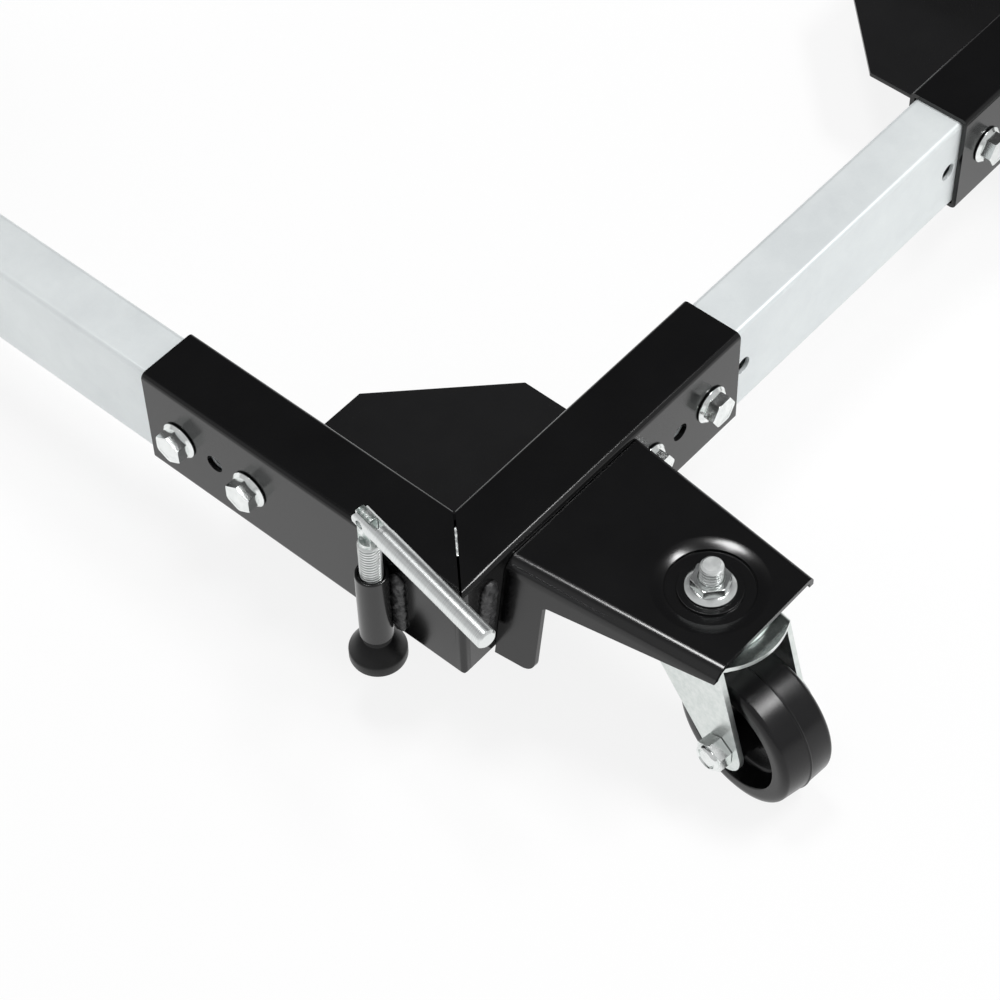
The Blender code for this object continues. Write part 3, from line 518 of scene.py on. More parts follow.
def makeSleeves(s=sleeve):
    width, wall, length, bend, corner = s["width"], s["wall"], s["length"], s["bend"], s["cornerBend"]
    piece = addNew("sleeves", bpy.ops.mesh.primitive_plane_add, size=width,
                   location=(width / 2, width / 2, sleeveLow))
    pull(piece, "EDGE", lambda e: middleOf(e).x > width - nearly, (length - width, 0, 0))
    pull(piece, "EDGE", lambda e: middleOf(e).y > width - nearly and middleOf(e).x < width,
         (0, length - width, 0))
    pull(piece, "FACE", lambda f: True, (0, 0, sleeveHigh - sleeveLow))
    faceOutwards(piece)

    def longFold(edge):
        level = abs(edge.verts[0].co.z - edge.verts[1].co.z) < nearly
        return level and isFold(edge) and max(middleOf(edge).xy) < length - nearly

    roundEdges(piece, longFold, bend, s["bendSteps"])
    dropFaces(piece, lambda f: max(f.calc_center_median().xy) > length - nearly)
    thicken(piece, wall)

    # below the overhanging top the upright corner is rounded
    cutter = addBlock("cornerCut", (-past, -past, sleeveLow - past), (corner, corner, sleeveHigh - bend))
    core = addRod("cornerCore", (corner, corner, sleeveLow - 0.01), (corner, corner, sleeveHigh + 0.01),
                  corner, 48)
    cut(piece, cut(cutter, core))

    # the mitre stays open along its top
    reach = width * math.sqrt(2)
    centre = Vector((reach / 2 * math.cos(math.pi / 4), reach / 2 * math.sin(math.pi / 4), sleeveHigh))
    half = Vector((reach / 2 + s["mitrePast"], s["mitreGap"] / 2, wall + bend / 2))
    cut(piece, addBlock("mitreCut", centre - half, centre + half, math.pi / 4))

    level, depth = railHeight, s["holeDepth"]
    for along in s["holePlaces"]:
        for start, end in (((along, -past, level), (along, depth, level)),
                           ((-past, along, level), (depth, along, level))):
            cut(piece, addRod("sleeveHole", start, end, s["holeRadius"]))
    return softenEdges(piece, s["edgeRound"])


seat = dict(reach=0.125, cornerCut=0.063, thickness=0.003, bite=0.0012, edgeRound=0.0005)


def makeSeat(s=seat):
    near = sleeve["width"] - s["bite"]
    far = sleeve["width"] + s["reach"]
    piece = addBlock("seatPlate", (near, near, seatTop - s["thickness"]), (far, far, seatTop))
    choose(piece, "FACE")
    bpy.ops.mesh.bisect(plane_co=(far, far - s["cornerCut"], seatTop), plane_no=(1, 1, 0),
                        use_fill=True, clear_outer=True)
    done()
    roundEdges(piece, isFold, s["edgeRound"], 2)
    return smooth(piece)


tube = dict(
    radius=0.00875, bore=0.0063, top=0.1050, low=0.0555, rim=0.0009, lowEdge=0.0006, boreEdge=0.0004,
    mouthWidth=0.0010, mouthDepth=0.0008, sides=64)


def makeTube(s=tube):
    radius, bore, top, low, rim = s["radius"], s["bore"], s["top"], s["low"], s["rim"]
    profile = [(bore, low + s["boreEdge"]), (bore + s["boreEdge"], low)]
    profile += [(radius - s["lowEdge"], low), (radius, low + s["lowEdge"])]
    profile += arcPoints((radius - rim, top - rim), rim, 0, 90, 5)
    profile += [(bore + s["mouthWidth"], top), (bore, top - s["mouthDepth"])]
    piece = turnPiece("levellerTube", profile, s["sides"], hollow=True)
    return smooth(move(piece, at(screwAxis.x, screwAxis.y, 0)))


weld = dict(
    ripple=0.0031, rippleHeight=0.00025, chevron=0.0016, lumpScale=0.0028, lumpHeight=0.0022, flatness=0.50,
    endRadius=0.0002, sides=28, rings=110)


def makeWeld(name, start, end, width, outward, s=weld):  # a flattened bead with the ripples of the weld pool
    start, end = Vector(start), Vector(end)
    length = (end - start).length

    def bead(turn, along):
        height = along * length
        fromEnd = min(height, length - height) / (width / 2)
        radius = width / 2 * math.sqrt(1 - (1 - min(fromEnd, 1)) ** 2) + s["endRadius"]
        ripple = math.sin((height + s["chevron"] * math.cos(turn)) / s["ripple"] * math.tau)
        radius += s["rippleHeight"] * ripple * min(fromEnd, 1)
        return Vector((radius * math.cos(turn) * s["flatness"], radius * math.sin(turn), height))

    piece = rollTube(name, s["sides"], s["rings"], bead)
    upwards = (end - start).normalized()
    aside = upwards.cross(Vector(outward)).normalized()
    axes = Matrix((aside.cross(upwards), aside, upwards)).transposed()
    move(piece, Matrix.Translation(start) @ axes.to_4x4())
    lumps = bpy.data.textures.new(name + "Lumps", "CLOUDS")
    lumps.noise_scale = s["lumpScale"]
    lumps.noise_depth = 2
    modify(piece, "DISPLACE", texture=lumps, strength=s["lumpHeight"], mid_level=0.5, texture_coords="LOCAL")
    faceOutwards(piece)
    pick(piece)
    bpy.ops.object.shade_smooth()
    return piece


mitreSliver = dict(start=0.0245, end=0.0425, width=0.0018, below=0.0006, lumpHeight=0.0003)


def makeMitreSliver(s=mitreSliver):  # a bright sliver in the zinc finish, lying under the open mitre where it shows as a pale line
    first, last = s["start"] / math.sqrt(2), s["end"] / math.sqrt(2)
    level = sleeveHigh - s["below"]
    settings = {**weld, "lumpHeight": s["lumpHeight"], "rippleHeight": 0.0}
    return makeWeld("mitreSliver", (first, first, level), (last, last, level), s["width"], (0, 0, 1), settings)


tubeWeld = dict(aside=0.0092, sunk=0.0008, low=0.0585, high=0.1020, width=0.0085)


def makeTubeWeld(name, side, s=tubeWeld):
    y = screwAxis.y + side * s["aside"]
    return makeWeld(name, (-s["sunk"], y, s["low"]), (-s["sunk"], y, s["high"]), s["width"], (-1, 0, 0))


tabWeld = dict(lowAside=0.0080, highAside=0.0020, sunk=0.0008, low=0.0670, high=0.1120, width=0.0105)


def makeTabWeld(s=tabWeld):
    start = (armLow.x - s["lowAside"], -s["sunk"], s["low"])
    end = (armLow.x - s["highAside"], -s["sunk"], s["high"])
    return makeWeld("tabWeld", start, end, s["width"], (0, -1, 0))


# Caster arm

arm = dict(
    rootFlat=0.0905, tipFlat=0.0646, sheet=0.003, bend=0.009, farBend=0.004, bendSteps=8, lean=9,
    rootDepth=0.0173, tipDepth=0.0072, farDepth=0.0065, fillet=0.003, tab=0.0236, tabBelow=0.002,
    tabCorner=0.007, edgeRound=0.0006, pocketDepth=0.0032, pocketRim=0.0230, pocketShoulder=0.030,
    pocketDrop=0.0017, lipSteps=8, lipCurve=1.5, dishEdge=0.001, padRadius=0.0166, padHeight=0.0015,
    padEdge=0.0003, stemHole=0.0063, sides=96)


def makeArm(s=arm):  # pressed sheet with a flat top; the flange next to the corner leans out and tapers
    sheet, far = s["sheet"], 0.02
    top, low = armHigh.z, sleeveLow - s["tabBelow"]
    root, tip = armHigh.y, armLow.y
    centre = stemAxis.x
    lean = math.radians(s["lean"])
    fall = (top - low) * math.tan(lean)
    nearFold = s["bend"] * math.tan((quarterTurn - lean) / 2)
    taper = (s["rootFlat"] - s["tipFlat"]) / 2 / (root - tip)
    half = s["rootFlat"] / 2 + taper * past
    nearSide, farSide = centre - half - nearFold, centre + half + s["farBend"]
    piece = addBlock("casterArm", (nearSide, tip - past, low), (farSide, root + past, top))
    for side in (-1, 1):
        narrowing = (-side * taper * (root - tip + 2 * past), 0, 0)
        shift(piece, lambda v: v.co.y < tip and (v.co.x - centre) * side > 0, narrowing)
    shift(piece, lambda v: v.co.x < centre and v.co.z < low + past, (-fall, 0, 0))
    dropFaces(piece, lambda f: f.normal.z < -0.5 or abs(f.normal.y) > 0.5)
    topFold = lambda e: middleOf(e).z > top - nearly and isFold(e)
    roundEdges(piece, lambda e: topFold(e) and middleOf(e).x < centre, nearFold, s["bendSteps"])
    roundEdges(piece, lambda e: topFold(e) and middleOf(e).x > centre, s["farBend"], s["bendSteps"])
    thicken(piece, sheet)
    nearEnd, farEnd = nearSide - fall - far, farSide + far
    trim = addBlock("armLength", (nearEnd, tip, low - far), (farEnd, root, top + past))
    combine(piece, trim, "INTERSECT")

    # the flange's lower edge rises from the tab to the tip
    under = top - s["rootDepth"]
    rise = (s["rootDepth"] - s["tipDepth"]) / (root - tip - s["tab"])
    cutter = addBlock("tabTrim", (nearEnd, tip - far, low - far), (centre, -s["tab"], under))
    shift(cutter, lambda v: v.co.y < tip and v.co.z > under - past, (0, 0, rise * (far - tip - s["tab"])))
    inner = lambda e: middleOf(e).y > -s["tab"] - nearly and middleOf(e).z > under - nearly
    roundEdges(cutter, inner, s["fillet"], 6)
    cut(piece, cutter)
    farLow, farHigh = (centre - past, tip - far, low - far), (farEnd, root + past, top - s["farDepth"])
    cut(piece, addBlock("farTrim", farLow, farHigh))

    def tabCorner(edge):
        place = middleOf(edge)
        across = abs(edge.verts[0].co.x - edge.verts[1].co.x) > sheet / 2
        return across and abs(place.y + s["tab"]) < nearly and place.z < low + nearly

    roundEdges(piece, tabCorner, s["tabCorner"], 8)

    # dished pocket, and the washer that the stem's nut bears on
    floor = top - s["pocketDepth"]
    rim, shoulder, edge, steps = s["pocketRim"], s["pocketShoulder"], s["dishEdge"], s["lipSteps"]
    dishPlace = at(stemAxis.x, stemAxis.y, 0)

    def press(name, profile, operation):
        combine(piece, move(turnPiece(name, profile, s["sides"]), dishPlace), operation)

    press("dish", [
        (rim + sheet - edge, floor - sheet), (rim + sheet, floor - sheet + edge),
        (shoulder + past, top - sheet / 2)], "UNION")
    lip = []
    for step in range(steps):
        drop = s["pocketDrop"] * (1 - step / steps) ** s["lipCurve"]
        lip.append((rim + (shoulder - rim) * step / steps, top - drop))
    wall = [(rim - 0.0014, floor), (rim - 0.0007, floor + 0.0001), (rim - 0.0004, floor + 0.0004)]
    wall += [(rim - 0.0002, lip[0][1] - 0.0003)]
    press("pocket", wall + lip + [(shoulder, top + 0.00002), (shoulder, top + past)], "DIFFERENCE")
    pad, padTop, padEdge = s["padRadius"], floor + s["padHeight"], s["padEdge"]
    press("washer", [(pad, floor - sheet / 2), (pad, padTop - padEdge), (pad - padEdge, padTop)], "UNION")
    hole = addRod("stemHole", (0, 0, floor - 0.01), (0, 0, floor + 0.01), s["stemHole"], 48)
    cut(piece, move(hole, dishPlace))
    return softenEdges(piece, s["edgeRound"])


# Caster

thread = dict(pitch=0.0020, depth=0.0008, crest=0.38, root=0.88, ringsPerTurn=10, sides=48)


def makeThread(name, low, high, radius, chamfer, s=thread):
    def groove(turn, along):
        height = low + along * (high - low)
        wave = abs((height / s["pitch"] - turn / math.tau) % 1 * 2 - 1)
        depth = s["depth"] * min(max((wave - s["crest"]) / (s["root"] - s["crest"]), 0), 1)
        inset = max(depth, height - (high - chamfer))
        return Vector(((radius - inset) * math.cos(turn), (radius - inset) * math.sin(turn), height))

    rings = int((high - low) / s["pitch"] * s["ringsPerTurn"])
    piece = smooth(rollTube(name, s["sides"], rings, groove), 30)
    # the groove's depth at each point, which the finish darkens as painted shade
    mark(piece, "groove",
         lambda spot: (radius - spot.xy.length) / s["depth"] if spot.z < high - chamfer else 0)
    return piece


stem = dict(
    radius=0.006, chamfer=0.0016, sunk=0.0005, raceRadius=0.032, raceLow=0.0003, raceHigh=0.0073,
    raceRound=0.0016, raceEdge=0.0004, collar=0.004, pin=0.0055, rivet=0.009, rivetHeight=0.004,
    crown=0.003, sides=96)


def makeStem(s=stem):
    return makeThread("stemThread", crownTop + s["raceHigh"] - s["sunk"], stemTop, s["radius"], s["chamfer"])


def makeRace(s=stem):  # swivel race between the arm and the fork, with its riveted king pin
    low, high, edge = crownTop + s["raceLow"], crownTop + s["raceHigh"], s["raceRound"]
    radius, rivet, rivetTop = s["raceRadius"], s["rivet"], crownTop - s["crown"] - s["raceLow"]
    rivetEnd = rivetTop - s["rivetHeight"]
    profile = [(rivet - 0.003, rivetEnd), (rivet - 0.001, rivetEnd + 0.0007), (rivet, rivetTop - 0.0015)]
    profile += [(rivet, rivetTop), (s["pin"], rivetTop), (s["pin"], low)]
    profile += [(radius - s["raceEdge"], low), (radius, low + s["raceEdge"])]
    profile += arcPoints((radius - edge, high - edge), edge, 0, 90, 5)
    profile += [(s["radius"] + s["collar"], high), (s["radius"], high)]
    return smooth(turnPiece("swivelRace", profile, s["sides"]))


def hexCorner(across):
    return across / 2 / math.cos(math.pi / 6)


def addHex(name, across, low, high, chamfer):  # hexagon whose top corners are turned off at 30 degrees
    piece = addRod(name, (0, 0, low), (0, 0, high + past), hexCorner(across), 6)
    wide = hexCorner(across) * 1.2
    fall = (wide - across / 2 + chamfer) * math.tan(math.radians(30))
    cone = turnPiece(name + "Chamfer", [
        (wide, low - 0.001), (wide, high - fall), (across / 2 - chamfer, high)], 72)
    return combine(piece, cone, "INTERSECT")


nut = dict(
    flange=0.013, flangeEdge=0.0011, flangeHeight=0.0026, lowEdge=0.0004, highEdge=0.0003, across=0.018,
    turn=26.8, chamfer=-0.0006, ledge=0.0002, bore=0.0061, boreEdge=0.0006, edgeRound=0.0002, sides=72)


def makeNut(s=nut):
    ledge, flange, bore = hexCorner(s["across"]) + s["ledge"], s["flange"], s["bore"]
    edgeTop, flangeTop = nutLow + s["flangeEdge"], nutLow + s["flangeHeight"]
    piece = turnPiece("stemNut", [
        (flange - s["lowEdge"], nutLow), (flange, nutLow + s["lowEdge"]), (flange, edgeTop - s["highEdge"]),
        (flange - s["highEdge"], edgeTop), (ledge, flangeTop),
        (ledge - 0.003, flangeTop + 0.0006)], s["sides"])
    head = addHex("nutHex", s["across"], nutLow + 0.0008, nutHigh, s["chamfer"])
    unite(piece, move(head, turned(math.radians(s["turn"]), "Z")))
    boreTool = turnPiece("nutBore", [
        (bore, nutLow - past), (bore, nutHigh - s["boreEdge"]),
        (bore + 2 * s["boreEdge"], nutHigh + s["boreEdge"])], 48)
    cut(piece, boreTool)
    return softenEdges(piece, s["edgeRound"])


fork = dict(
    outer=0.0238, sheet=0.003, bend=0.0045, bendSteps=6, crownRadius=0.038, crownOffset=0.0025,
    crownSkirt=0.0004, legEnd=0.0135, chordTrim=0.002, waistDrop=0.034, waistBack=0.014, pinHole=0.0058,
    axleHole=0.0053, edgeRound=0.0007)


def makeFork(s=fork):
    outer, offset, radius = s["outer"], s["crownOffset"], s["crownRadius"]
    under, reach, spot = crownTop - s["sheet"], 0.05, 0.0001
    piece = addBlock(
        "casterFork", (offset - radius - 0.01, -outer, 0.01), (offset + radius + 0.03, outer, crownTop))
    dropFaces(piece, lambda f: f.normal.z < -0.5 or abs(f.normal.x) > 0.5)
    roundEdges(piece, lambda e: middleOf(e).z > crownTop - nearly and isFold(e), s["bend"], s["bendSteps"])
    thicken(piece, s["sheet"])

    # the legs' outline is the hull of the round axle end and three corners
    chord = math.sqrt(radius ** 2 - outer ** 2) - s["chordTrim"]
    axleEnds = [(wheelAxis.x, side * reach, wheelAxis.z) for side in (-1, 1)]
    legs = addRod("legOutline", *axleEnds, s["legEnd"], 64)
    heel = (offset - chord + s["waistBack"], crownTop - s["waistDrop"])
    for x, z in ((offset - chord, crownTop + 0.001), (offset + chord, crownTop + 0.001), heel):
        corner = addBlock("legSpot", (x - spot, -reach, z - spot), (x + spot, reach, z + spot))
        pick(legs)
        corner.select_set(True)
        bpy.ops.object.join()
    choose(legs, "VERT")
    bpy.ops.mesh.convex_hull()
    done()
    crown = addRod("crownOutline", (offset, 0, under - s["crownSkirt"]), (offset, 0, crownTop + 0.003),
                   radius, 128)
    combine(piece, unite(legs, crown), "INTERSECT")
    pinHole = addRod("pinHole", (0, 0, under - 0.01), (0, 0, crownTop + 0.01), s["pinHole"], 48)
    cut(piece, pinHole)
    cut(piece, addRod("axleHole", *axleEnds, s["axleHole"], 40))
    return softenEdges(piece, s["edgeRound"])


wheel = dict(
    width=0.034, shoulder=0.0055, shoulderWidth=0.0035, rimDepth=0.011, rimRound=0.0008, recess=0.012,
    slope=0.002, fillet=0.0025, hub=0.0105, hubEdge=0.0006, overhang=0.0035, bore=0.0053,
    partingHeight=0.0005, parting=0.0008, crown=0.0008, sides=128)


def makeWheel(s=wheel):
    half, fillet, rimRound, parting = s["width"] / 2, s["fillet"], s["rimRound"], s["parting"]
    hubEnd, web, inside = half + s["overhang"], half - s["recess"], wheelRadius - s["rimDepth"]
    edge = wheelRadius - s["partingHeight"] - s["crown"]
    upper = [(s["bore"], hubEnd), (s["hub"] - s["hubEdge"], hubEnd), (s["hub"], hubEnd - s["hubEdge"])]
    upper += arcPoints((s["hub"] + fillet, web + fillet), fillet, 180, 270, 4)
    upper += arcPoints((inside - s["slope"] - fillet, web + fillet), fillet, -90, 0, 4)
    upper += arcPoints((inside + rimRound, half - rimRound), rimRound, 180, 90, 3)
    for across, out in arcPoints((0, 0), 1, 90, 0, 8):  # the shoulder is a quarter of an ellipse
        upper.append((edge - s["shoulder"] * (1 - across), half - s["shoulderWidth"] * (1 - out)))
    start = math.degrees(math.acos(1 - s["partingHeight"] / parting))
    upper += arcPoints((wheelRadius - parting, 0), parting, start, start / 9, 4)  # the mould's parting line
    lower = [(radius, -height) for radius, height in reversed(upper)]
    return smooth(turnPiece("casterWheel", upper + lower, s["sides"], hollow=True), 40)


axle = dict(
    radius=0.005, across=0.016, head=0.0064, nut=0.008, collar=0.002, collarInset=0.0006, chamfer=-0.0004,
    gap=0.0003, edgeRound=0.0002)


def makeAxle(s=axle):  # along +Z with the lock nut on top
    radius, across, face = s["radius"], s["across"], fork["outer"] + s["gap"]
    nutTop = face + s["nut"]
    end = nutTop + s["collar"]
    piece = turnPiece("axleBolt", [
        (radius, -face - past), (radius, end - 0.0012), (radius - 0.0006, end - 0.0006)], 48)
    dome = across / 2 - s["collarInset"]
    collar = turnPiece("lockCollar", [
        (dome, face + 0.001), (dome, end - 0.0012), (dome - 0.0004, end - 0.0005), (dome - 0.0010, end),
        (radius + 0.0009, end), (radius + 0.0004, end - 0.0008), (radius + 0.0004, end - 0.0016)], 64)
    unite(collar, addHex("lockNut", across, face, nutTop, s["chamfer"]))
    unite(piece, collar)
    head = addHex("axleHead", across, face, face + s["head"], s["chamfer"])
    unite(piece, move(head, turned(math.pi, "X")))
    return softenEdges(piece, s["edgeRound"])


# Leveller

foot = dict(
    radius=0.0152, crease=0.0147, rim=0.0075, neck=0.0076, neckHeight=0.0040, neckInset=0.0004, dome=0.0010,
    domeSteps=6, sides=96)


def makeFoot(s=foot):  # a thick disc with a crisp edge, whose top rises to a short neck
    radius, crease, neck, collar = s["radius"], s["crease"], s["neck"], s["neck"] - s["neckInset"]
    rimTop, neckLow = footLow + s["rim"], footHigh - s["neckHeight"]
    profile = [(radius - 0.006, footLow + 0.0008), (radius - 0.0035, footLow), (radius - 0.0012, footLow)]
    profile += [(radius - 0.0004, footLow + 0.0006), (radius, footLow + 0.0018), (radius, rimTop - 0.0011)]
    profile += [(crease + 0.0002, rimTop - 0.0002)]
    for step in range(s["domeSteps"] + 1):
        along = step / s["domeSteps"]
        swell = s["dome"] * math.sin(math.pi * along)
        profile.append((crease + (neck - crease) * along, rimTop + (neckLow - rimTop) * along + swell))
    profile += [(collar, neckLow + 0.0010), (collar, footHigh - 0.0004), (neck - 0.0015, footHigh)]
    return smooth(turnPiece("levellerFoot", profile, s["sides"]), 30)


screw = dict(
    radius=0.006, chamfer=0.0012, tangHeight=0.017, tangThick=0.005, tangWidth=0.0108, tangTop=0.0060,
    tangRound=0.0018, tangSunk=0.0005, pinHole=0.0026, edgeRound=0.0003)


def makeScrew(s=screw):
    return makeThread("screwThread", screwLow, pin.z - s["tangHeight"], s["radius"], s["chamfer"])


def makeTang(s=screw):  # flat eye on top of the screw, flush with the folded lever
    half, thick, radius = s["tangWidth"] / 2, s["tangThick"] / 2, s["radius"]
    root, top = pin.z - s["tangHeight"], pin.z + s["tangTop"]
    piece = addBlock("screwTang", (-half, -thick, root - s["tangSunk"]), (half, thick, top))
    isTop = lambda e: middleOf(e).z > top - nearly and abs(e.verts[0].co.y - e.verts[1].co.y) > thick
    roundEdges(piece, isTop, s["tangRound"], 8)
    # the top follows the lever's head; below the pin the cutter only has to be wider than the tang
    crown = addRod("tangCrown", (-0.02, 0, pin.z), (0.02, 0, pin.z), lever["head"], 72)
    unite(crown, addBlock("tangBelow", (-0.03, -0.008, root - 0.005), (0.03, 0.008, pin.z)))
    combine(piece, crown, "INTERSECT")
    cut(piece, addRod("tangHole", (0, -0.01, pin.z), (0, 0.01, pin.z), s["pinHole"]))
    shoulder = turnPiece("tangShoulder", [
        (radius - 0.0012, root - 0.0006), (radius - 0.0009, root + 0.0003),
        (half - 0.0006, root + 0.0022)], 48)
    unite(piece, shoulder)
    return softenEdges(piece, s["edgeRound"])


lever = dict(
    radius=0.0055, head=0.0053, length=0.092, tail=0.0058, chamfer=0.0011, slot=0.011, slotWidth=0.0056,
    flat=0.0049, flatEnd=0.0145, step=0.0006, pinHole=0.0026, pinGap=0.0002, pinEdge=0.0004,
    pinRecess=0.0019, sides=72, edgeRound=0.0003)


def makeLever(s=lever):  # turned bar on +X from its pin, with a slotted and flatted head
    chamfer, radius, tail, head, flatEnd = s["chamfer"], s["radius"], s["tail"], s["head"], s["flatEnd"]
    wide = 0.01  # cutters reach this far from the bar's axis
    piece = turnPiece("leverBar", [
        (head, -tail - past), (head, flatEnd), (radius, flatEnd + s["step"]),
        (radius, s["length"] - chamfer), (radius - chamfer, s["length"])], s["sides"])
    move(piece, turned(quarterTurn, "Y"))
    tailCut = addBlock("leverTail", (-tail - wide, -wide, -wide), (0, wide, wide))
    cut(tailCut, addRod("tailRound", (0, -2 * wide, 0), (0, 2 * wide, 0), tail, 48))
    cut(piece, tailCut)
    slotHalf = s["slotWidth"] / 2
    cut(piece, addBlock("leverSlot", (-tail - past, -slotHalf, -wide), (s["slot"], slotHalf, wide)))
    for side in (-1, 1):
        flat = addBlock("leverFlat", (-tail - 0.004, side * s["flat"] - past / 2, -wide),
                        (flatEnd, side * s["flat"] + past / 2, wide))
        cut(piece, move(flat, at(0, side * past / 2, 0)))
    cut(piece, addRod("leverPinHole", (0, -wide, 0), (0, wide, 0), s["pinHole"]))
    softenEdges(piece, s["edgeRound"])
    mark(piece, "along", lambda spot: spot.x)
    return piece


def makeLeverPin(s=lever):
    end, edge, radius = s["flat"] - s["pinRecess"], s["pinEdge"], s["pinHole"] - s["pinGap"]
    piece = turnPiece("leverPin", [
        (radius - edge, -end), (radius, -end + edge), (radius, end - edge), (radius - edge, end)], 32)
    return smooth(move(piece, turned(quarterTurn, "X")))


# Rail bolts and rails

bolt = dict(
    radius=0.005, shank=0.018, tip=0.0008, flange=0.011, flangeEdge=0.0004, flangeHeight=0.0028,
    across=0.016, top=0.0093, seat=0.0003, turn=30, chamfer=-0.0006, ledge=0.0002, dishRim=0.0012,
    dishWall=0.0006, dish=0.0003, edgeRound=0.0002, sides=72)


def makeBolt(s=bolt):  # head outwards on +Z, the sleeve's face at Z = 0
    radius, tip, seat, flange, edge = s["radius"], s["tip"], s["seat"], s["flange"], s["flangeEdge"]
    ledge, flangeTop = hexCorner(s["across"]) + s["ledge"], s["flangeHeight"]
    piece = turnPiece("railBolt", [
        (radius - tip, -s["shank"]), (radius, -s["shank"] + tip), (radius, seat),
        (flange - edge, seat), (flange, seat + edge), (flange, seat + 0.0009), (flange - edge, seat + 0.0013),
        (ledge, flangeTop), (ledge - 0.003, flangeTop + 0.0005)], s["sides"])
    head = addHex("boltHex", s["across"], seat + 0.0006, s["top"], s["chamfer"])
    choose(head, "FACE", lambda f: f.normal.z > 0.9 and f.calc_center_median().z > s["top"] - nearly)
    bpy.ops.mesh.inset(thickness=s["dishRim"], depth=0)
    bpy.ops.mesh.inset(thickness=s["dishWall"], depth=-s["dish"])
    done()
    unite(piece, move(head, turned(math.radians(s["turn"]), "Z")))
    return softenEdges(piece, s["edgeRound"])


rail = dict(
    wide=0.0318, tall=0.0618, wall=0.0025, bend=0.003, bendSteps=5, spareHole=0.0080, holeSlip=0.0016,
    holeDepth=0.004, edgeRound=0.0003)


def makeRail(name, node, spareHoles, s=rail):  # along +X about its own middle, holes on the -Y face
    low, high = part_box(node)
    half = max(high.x - low.x, high.y - low.y) / 2
    wide, tall = s["wide"] / 2, s["tall"] / 2
    piece = addBlock(name, (-half, -wide, -tall), (half, wide, tall))
    roundEdges(piece, lambda e: abs(e.verts[0].co.x - e.verts[1].co.x) > half, s["bend"], s["bendSteps"])
    dropFaces(piece, lambda f: abs(f.normal.x) > 0.5)
    thicken(piece, s["wall"])
    span = abs((toCorner.inverted() @ Vector((0, 0, 0))).x)
    outer, between, inner = (span - along for along in sleeve["holePlaces"])
    places = [outer, between + s["holeSlip"], inner]
    if spareHoles:
        places.append(span - sleeve["length"] - s["spareHole"])
    for along in places:
        for x in (-along, along):
            start, end = (x, -wide - past, 0), (x, -wide + s["holeDepth"], 0)
            cut(piece, addRod("railHole", start, end, sleeve["holeRadius"]))
    return softenEdges(piece, s["edgeRound"])


# Every shape is made once

shapes = [
    makeSleeves(), makeSeat(), makeTube(), makeMitreSliver(), makeTubeWeld("nearTubeWeld", -1),
    makeTubeWeld("farTubeWeld", 1), makeTabWeld(), makeArm(), makeStem(), makeRace(), makeNut(), makeFork(),
    makeWheel(), makeAxle(), makeFoot(), makeScrew(), makeTang(), makeLever(), makeLeverPin(), makeBolt(),
    makeRail("endRail", "front_rail", True), makeRail("sideRail", "left_rail", False)]
masters = {shape.name: shape for shape in shapes}
print("shapes modelled:", len(masters))


def place(master, name, matrix, finishName, body, *nodes):  # a copy with its own mesh
    finish, slot = finishes[finishName]
    piece = masters[master].copy()
    piece.data = masters[master].data.copy()
    piece.name = name
    piece.data.name = name
    scene.collection.objects.link(piece)
    move(piece, matrix)
    if matrix.determinant() < 0:
        piece.data.flip_normals()
    piece.data.materials.clear()
    piece.data.materials.append(finish)
    modify(piece, "WEIGHTED_NORMAL", keep_sharp=True, weight=80)
    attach(piece, body)
    if nodes:
        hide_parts(*nodes)


# By place and body: shape, piece, finish and the node it replaces
cornerPieces = {
    ("home", "frame"): [
        ("sleeves", "sleeves", "paint", "corner_bracket"), ("seatPlate", "seat_plate", "seat"),
        ("levellerTube", "leveller_tube", "gloss"), ("mitreSliver", "mitre_sliver", "thread"),
        ("nearTubeWeld", "nearTubeWeld", "weld"), ("farTubeWeld", "farTubeWeld", "weld"),
        ("tabWeld", "tabWeld", "weld"), ("casterArm", "arm", "gloss", "caster_arm")],
    ("swivel", "frame"): [
        ("stemThread", "stem_thread", "thread", "caster_stem"), ("swivelRace", "swivel_race", "bolt"),
        ("stemNut", "flange_nut", "bolt", "stem_nut")],
    ("swivel", "caster"): [("casterFork", "fork", "fork", "caster_fork")],
    ("axle", "caster"): [("axleBolt", "axle", "bolt", "axle_bolt")],
    ("axle", "wheel"): [("casterWheel", "tread_wheel", "wheel", "caster_wheel")],
    ("screw", "foot"): [("levellerFoot", "foot", "foot", "leveller_foot")],
    ("screw", "screw"): [
        ("screwThread", "screw_thread", "thread", "leveller_screw"), ("screwTang", "screw_tang", "milled")],
    ("pin", "lever"): [
        ("leverBar", "lever_bar", "bar", "leveller_lever"), ("leverPin", "lever_pin", "bolt")]}

for corner, (hand, _) in cornerHands.items():
    spots = {"home": cornerFrame(corner), "swivel": casterFrame(corner), "screw": levellerFrame(corner)}
    spots["axle"] = spots["swivel"] @ (at(wheelAxis.x, 0, wheelAxis.z) @ turned(quarterTurn, "X"))
    spots["pin"] = spots["screw"] @ at(0, 0, pin.z)
    for (spot, body), rows in cornerPieces.items():
        bodyName = body if body == "frame" else f"{corner}_{body}"
        for master, name, finishName, *nodes in rows:
            place(master, f"{corner}_{name}", spots[spot], finishName, bodyName,
                  *(f"{corner}_{node}" for node in nodes))

    unhanded = spots["home"] @ Matrix.Diagonal((hand, 1, 1, 1))
    for number, along in enumerate((sleeve["holePlaces"][0], sleeve["holePlaces"][2]), 1):
        faces = {
            "end": at(hand * along, 0, railHeight) @ turned(quarterTurn, "X"),
            "side": at(0, along, railHeight) @ turned(-hand * quarterTurn, "Y")}
        for side, face in faces.items():
            place("railBolt", f"{corner}_{side}_bolt_{number}", unhanded @ face, "bolt", "frame",
                  f"{corner}_{side}_rail_bolt_{number}")

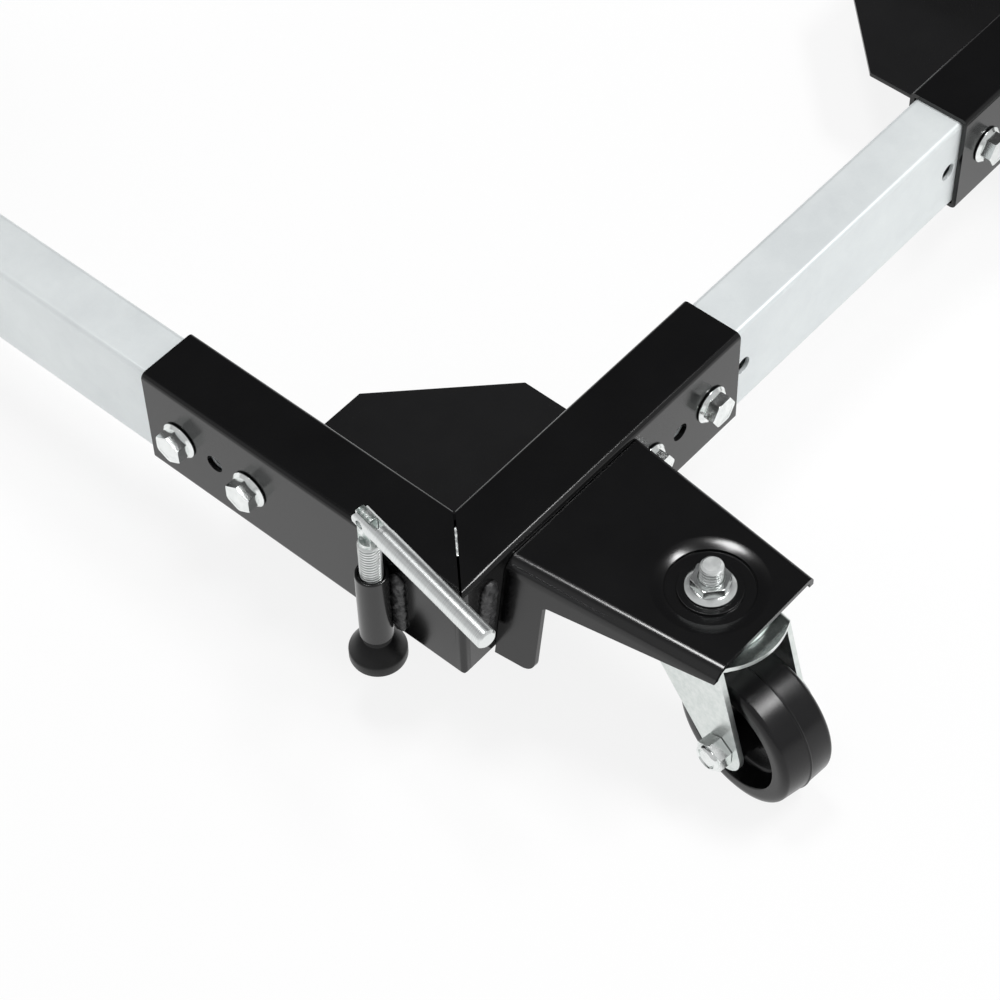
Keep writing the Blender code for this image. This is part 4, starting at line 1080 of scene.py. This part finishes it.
railTurns = {
    "front": ("endRail", 0.0), "rear": ("endRail", math.pi),
    "left": ("sideRail", -quarterTurn), "right": ("sideRail", quarterTurn)}
for side, (master, turn) in railTurns.items():
    spot = Matrix.Translation(middle(side + "_rail")) @ turned(turn, "Z")
    place(master, side + "_rail_tube", spot, "rail", "frame", side + "_rail")

for master in masters.values():
    bpy.data.objects.remove(master, do_unlink=True)


# Floor, light and camera

studio = dict(
    floorSize=120.0, floorBelow=0.0004, floorGlow=0.86, floorColour=(0.92, 0.92, 0.92, 1),
    worldEdge=(0.92, 0.92, 0.92, 1), worldLow=(0.20, 0.20, 0.20, 1), worldNear=(0.55, 0.55, 0.555, 1),
    worldFar=(0.08, 0.08, 0.083, 1), farSide=(0.457, 0.416, 0.786), farFrom=(0.45, 0.85),
    wallFrom=(0.02, 0.30), edgeFrom=(0.08, 0.14), worldStrength=1.0)


def makeFloor(s=studio):
    floor = addNew("floor", bpy.ops.mesh.primitive_plane_add, size=s["floorSize"],
                   location=(0, 0, -s["floorBelow"]))
    finish, wire = newFinish("white sweep")
    rays = ("Is Camera Ray", "Is Glossy Ray", "Is Transmission Ray")
    direct, glossy, through = (wire.node("LightPath", output=ray) for ray in rays)
    seen = (direct + glossy + through).clamped(0, 1)
    matt = wire.node("BsdfDiffuse", {}, {"Color": s["floorColour"]})
    glow = wire.node("Emission", {}, {"Color": (1, 1, 1, 1), "Strength": 1.0})
    both = wire.node("MixShader", {}, {0: seen * s["floorGlow"], 1: matt, 2: glow})
    wire.node("OutputMaterial", {}, {"Surface": both})
    floor.data.materials.append(finish)


def makeWorld(s=studio):
    world = bpy.data.worlds.new("studio")
    world.use_nodes = True
    world.node_tree.nodes.clear()
    scene.world = world
    wire = Wire(world.node_tree)
    where = wire.node("TexCoord", output="Generated")
    height = wire.node("SeparateXYZ", {}, {0: where}, "Z")
    facing = wire.node("VectorMath", {"operation": "DOT_PRODUCT"}, {0: where, 1: s["farSide"]}, "Value")
    # the ceiling is darker on the far side
    upper = facing.clamped(*s["farFrom"]).mix(s["worldNear"], s["worldFar"])
    wall = height.clamped(*s["wallFrom"]).mix(s["worldLow"], upper)
    # the sweep runs up a little past the floor
    tone = height.clamped(*s["edgeFrom"]).mix(s["worldEdge"], wall)
    sky = wire.node("Background", {}, {"Color": tone, "Strength": s["worldStrength"]})
    wire.node("OutputWorld", {}, {"Surface": sky})


softboxes = {
    "behind": {"place": (-0.03, 0.23, 2.84), "size": (0.60, 0.60), "power": 27},
    "aside": {"place": (0.63, -1.20, 2.53), "size": (1.00, 0.45), "power": 36}}
lightTarget = Vector((-0.30, -0.32, 0.10))


def makeLights():
    for name, s in softboxes.items():
        lamp = bpy.data.lights.new(name + " softbox", "AREA")
        lamp.shape = "RECTANGLE"
        lamp.size, lamp.size_y = s["size"]
        lamp.energy = s["power"]
        holder = bpy.data.objects.new(name + " softbox", lamp)
        holder.location = s["place"]
        holder.rotation_euler = (lightTarget - Vector(s["place"])).to_track_quat("-Z", "Y").to_euler()
        scene.collection.objects.link(holder)


camera = dict(
    place=(-0.9168, -0.8902, 1.2483), right=(0.65443, -0.75587, -0.01940), up=(0.60225, 0.50557, 0.61781),
    lens=104.98, sensor=36.0)


def makeCamera(s=camera):
    lens = bpy.data.cameras.new("camera")
    lens.lens = s["lens"]
    lens.sensor_width = s["sensor"]
    holder = bpy.data.objects.new("camera", lens)
    right, up = Vector(s["right"]), Vector(s["up"])
    axes = Matrix((right, up, right.cross(up))).transposed()
    holder.matrix_world = Matrix.Translation(s["place"]) @ axes.to_4x4()
    scene.collection.objects.link(holder)
    scene.camera = holder


makeFloor()
makeWorld()
makeLights()
makeCamera()

bpy.context.view_layer.update()
print("scene ready")
